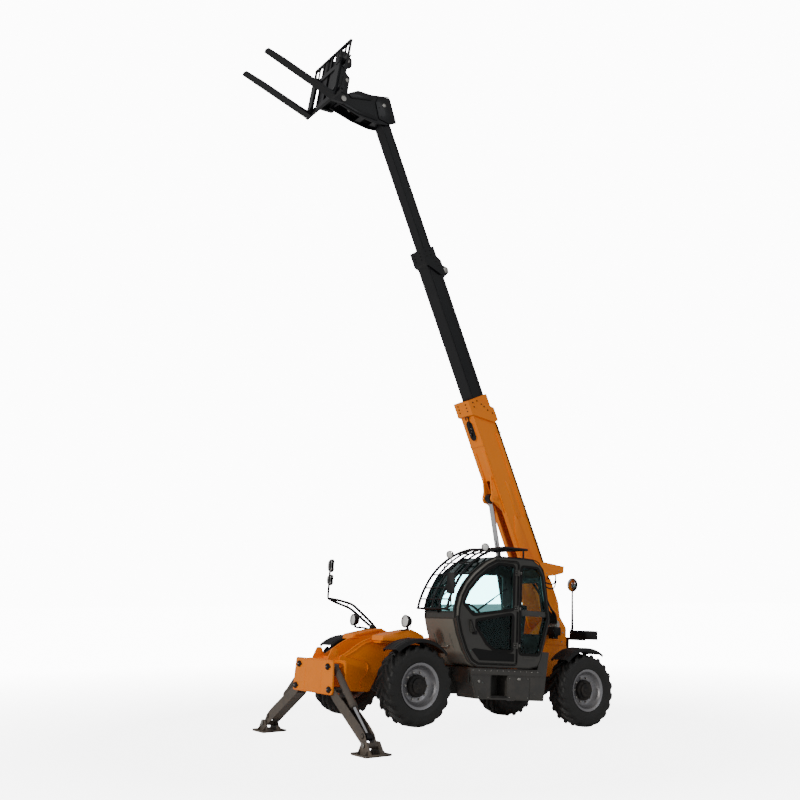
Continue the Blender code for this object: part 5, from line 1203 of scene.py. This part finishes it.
treads = [block((0.005, 0.9 + bellyLook["treadPitch"] * k, 0.458),
                (0.325, 0.912 + bellyLook["treadPitch"] * k, 0.47), 0.003)
          for k in range(bellyLook["treads"])]
treads += [block((0.005, outer - 0.01, 0.442), (0.325, outer + 0.012, 0.474), 0.004)]
rivets = [(x, outer + 0.01, 0.85) for x in np.arange(-0.62, 0.72, bellyLook["rivetPitch"])]
rivets += [(x, outer + 0.006, z) for x in (-0.42, -0.04) for z in (0.45, 0.74)]
rivets += [(x, outer + 0.006, 0.45) for x in (0.385, 0.58)]
catch = [block((-0.26, outer + 0.004, 0.715), (-0.2, outer + 0.018, 0.752), 0.004),
         rod((0.585, outer + 0.012, 0.685), (0.585, outer + 0.026, 0.685), 0.022, 20)]
filler = [rod((0.62, outer - 0.4, 0.872), (0.62, outer - 0.4, 0.905), 0.045, 28)]
piece("belly_trim", "chassis", {charcoalPaint: bellyPlates + sill + lobes,
                                machinedSteel: [bolts(rivets, (0, 1, 0), 0.008, 0.004)] + catch,
                                blackPlastic: treads + filler})

# ---- hood: louvres, seam, latches
hoodLook = {"face": -1.149, "louvre": 0.035, "louvrePitch": 0.065, "slats": 12, "slatPitch": 0.055}
face = hoodLook["face"]
louvres = [slab(rectangle((x, 0.8), (x + hoodLook["louvre"], 1.1)), -1.163, face, "xz", 0.004)
           for x in np.arange(-0.58, 0.4, hoodLook["louvrePitch"])]
seam = [block((-0.855, -1.156, 0.735), (0.825, face, 0.745), 0.002),
        block((0.5, -1.156, 0.64), (0.508, face, 1.2), 0.002)]
catches = [block((x, -1.166, 0.7), (x + 0.05, face, 0.775), 0.004) for x in (-0.5, 0.3)]
grille = [block((-0.872, -1.05 + hoodLook["slatPitch"] * k, 0.78),
                (-0.858, -1.02 + hoodLook["slatPitch"] * k, 1.2), 0.003)
          for k in range(hoodLook["slats"])]
piece("hood_trim", "chassis", {blackPlastic: louvres + seam + grille, machinedSteel: catches})

# ---- behind the cab: hanging hoses, their clamps, valve block; rear lamps and the rear mirror
hoseLook = {"count": 6, "pitch": 0.035, "radius": 0.013, "sag": 0.05}
pitch = hoseLook["pitch"]
loops, ferrules = [], []
for k in range(hoseLook["count"]):
    y = 0.33 + pitch * k
    sag = hoseLook["sag"] * (k % 3)
    ferrules.append(rod((-0.93, y, 2.54), (-0.98, y, 2.495), 0.017, 10))
    loops.append(tube([(-0.95, y, 2.52), (-1.1, y, 2.42 - sag), (-1.26, y + 0.01, 2.24 - sag),
                       (-1.42, y + 0.02, 2.02 - sag), (-1.53, y + 0.03, 1.8), (-1.56, y + 0.03, 1.62)],
                      hoseLook["radius"], 10, 6))
loops += [tube([(-1.02, 0.54, 2.55), (-1.22, 0.55, 2.36), (-1.45, 0.55, 2.33), (-1.55, 0.5, 2.44),
                (-1.6, 0.42, 2.52)], 0.012, 10, 6),
          tube([(-1.1, 0.5, 2.52), (-1.3, 0.52, 2.28), (-1.5, 0.5, 2.26), (-1.6, 0.46, 2.4)], 0.012, 10, 6)]
ferrules += [rod((-1.56, 0.36 + pitch * k, 1.66), (-1.562, 0.36 + pitch * k, 1.59), 0.017, 10)
             for k in range(hoseLook["count"])]
valve = [block((-1.63, 0.335, 1.46), (-1.48, 0.57, 1.6), 0.01),
         block((-1.6, 0.37, 1.4), (-1.52, 0.53, 1.47), 0.006)]
guardEdge = [tube([(-0.66, 0.598, 2.64), (-1.18, 0.598, 2.68), (-1.65, 0.598, 2.64)], 0.008, 8, 0)]
guardBolts = [bolts([(-0.85, 0.6, 2.5), (-1.25, 0.6, 2.5), (-1.52, 0.6, 2.56)], (0, 1, 0), 0.01, 0.007)]
piece("hose_bundle", "chassis", {hoseRubber: loops, machinedSteel: ferrules + guardBolts, castIron: valve,
                                 orangePaint: guardEdge})
rearLampLook = {"pitch": 0.16, "half": 0.065, "mirror": (0.575, 2.345)}
mirrorY, mirrorZ = rearLampLook["mirror"]
discRings = [(0.004, 0.021), (0.098, 0.021), (0.112, 0.019), (0.117, 0.008), (0.117, -0.012), (0.1, -0.021),
             (0.01, -0.023)]
disc = lathe(discRings, (-1.88, mirrorY, mirrorZ), (1, 0, 0), 48)
silver = lathe([(0.002, 0.024), (0.04, 0.02), (0.075, 0.01), (0.1, -0.002), (0.1, -0.006)],
               (-1.857, mirrorY, mirrorZ), (1, 0, 0), 48)
lampHouses, reds, whites = [], [], []
for side in (1, -1):
    low, high = sorted((side * 0.585, side * 1.125))
    lampHouses.append(slab(roundCorners(rectangle((low, 1.425), (high, 1.558)), 0.02, 4), -1.832, -1.823,
                           "yz", 0.004))
    for k in range(3):
        middle = side * (0.65 + rearLampLook["pitch"] * k)
        outline = rectangle((middle - rearLampLook["half"], 1.435), (middle + rearLampLook["half"], 1.55))
        lens = slab(roundCorners(outline, 0.02, 4), -1.968, -1.948, "yz", 0.006)
        (reds if k != 1 else whites).append(lens)
stem = [rod((-1.88, mirrorY, 1.56), (-1.88, mirrorY, 2.24), 0.015, 14),
        block((-1.9, 0.56, 1.54), (-1.86, 0.59, 1.6), 0.005)]
piece("rear_lamps", "chassis", {blackPlastic: lampHouses + stem + [disc], redLens: reds, clearLens: whites,
                                mirrorGlass: [silver]})
print("body trimmed")

# ---- floor, light, camera
paleFloor, tree, place = newMaterial("PaleStudioFloor")
reach = add(tree, "ShaderNodeVectorMath", {0: place}, operation="LENGTH").outputs["Value"]
glow = add(tree, "ShaderNodeMapRange", {0: reach, 1: 5.0, 2: 18.0, 3: 5.5, 4: 12.0}).outputs[0]
speck = add(tree, "ShaderNodeTexNoise", {"Vector": place, "Scale": 0.6, "Detail": 4.0}).outputs[0]
colour = add(tree, "ShaderNodeMix", {"Factor": speck, 6: linear("#EDEDEC"), 7: linear("#F6F6F6")},
             data_type="RGBA").outputs[2]
matt = add(tree, "ShaderNodeBsdfDiffuse", {"Color": colour})
seen = add(tree, "ShaderNodeLightPath").outputs["Is Camera Ray"]
glow = add(tree, "ShaderNodeMath", {0: glow, 1: seen}, operation="MULTIPLY").outputs[0]
lamp = add(tree, "ShaderNodeEmission", {"Color": (1, 1, 1, 1), "Strength": glow})
both = add(tree, "ShaderNodeAddShader", {0: matt.outputs[0], 1: lamp.outputs[0]})
add(tree, "ShaderNodeOutputMaterial", {"Surface": both.outputs[0]})
floorData = bpy.data.meshes.new("floor")
floorData.from_pydata([(-300, -300, 0), (300, -300, 0), (300, 300, 0), (-300, 300, 0)], [], [(0, 1, 2, 3)])
floorData.materials.append(paleFloor)
floor = bpy.data.objects.new("floor", floorData)
bpy.context.scene.collection.objects.link(floor)

# the backdrop is white where it is seen, directly or through glass, and a dim even fill elsewhere
world = bpy.data.worlds.new("studio")
world.use_nodes = True
bpy.context.scene.world = world
tree = world.node_tree
tree.nodes.clear()
path = add(tree, "ShaderNodeLightPath").outputs
bounces = add(tree, "ShaderNodeMath", {0: path["Diffuse Depth"], 1: path["Glossy Depth"]},
              operation="ADD").outputs[0]
unbounced = add(tree, "ShaderNodeMath", {0: bounces, 1: 0.5}, operation="LESS_THAN").outputs[0]
through = add(tree, "ShaderNodeMath", {0: path["Is Transmission Ray"], 1: unbounced},
              operation="MULTIPLY").outputs[0]
seen = add(tree, "ShaderNodeMath", {0: path["Is Camera Ray"], 1: through}, operation="MAXIMUM").outputs[0]
strength = add(tree, "ShaderNodeMapRange", {0: seen, 3: 0.42, 4: 12.0}).outputs[0]
sky = add(tree, "ShaderNodeBackground", {"Color": (1, 1, 1, 1), "Strength": strength})
add(tree, "ShaderNodeOutputWorld", {"Surface": sky.outputs[0]})


def sun(name, direction, strength, size, tint):
    light = bpy.data.lights.new(name, "SUN")
    light.energy = strength
    light.angle = math.radians(size)
    light.color = tint
    made = bpy.data.objects.new(name, light)
    made.rotation_euler = Vector(direction).to_track_quat("-Z", "Y").to_euler()
    made.visible_transmission = False
    bpy.context.scene.collection.objects.link(made)


sun("key", (-0.92, -0.16, -0.3), 1.5, 5.0, (1.0, 0.97, 0.92))
sun("side", (0.25, -0.85, -0.35), 0.22, 20.0, (0.95, 0.97, 1.0))

cameraLook = {"place": (10.265, 13.558, 2.099), "yaw": 236.392, "pitch": 11.507, "roll": -0.308,
              "lens": 44.01}
yaw, pitch, roll = (math.radians(cameraLook[key]) for key in ("yaw", "pitch", "roll"))
forward = np.array([math.cos(pitch) * math.cos(yaw), math.cos(pitch) * math.sin(yaw), math.sin(pitch)])
right = np.array([math.sin(yaw), -math.cos(yaw), 0.0])
up = np.cross(right, forward)
right, up = right * math.cos(roll) + up * math.sin(roll), up * math.cos(roll) - right * math.sin(roll)
lens = bpy.data.cameras.new("camera")
lens.lens = cameraLook["lens"]
lens.sensor_width = 36.0
lens.clip_end = 1000.0
camera = bpy.data.objects.new("camera", lens)
origin = rearAxle - np.array([-machine["wheelbase"] / 2, 0,
                              machine["tyreRadius"]]) + np.array(cameraLook["place"])
camera.matrix_world = Matrix([[right[k], up[k], -forward[k], origin[k]] for k in range(3)] + [[0, 0, 0, 1]])
bpy.context.scene.collection.objects.link(camera)
bpy.context.scene.camera = camera
print("stage set")
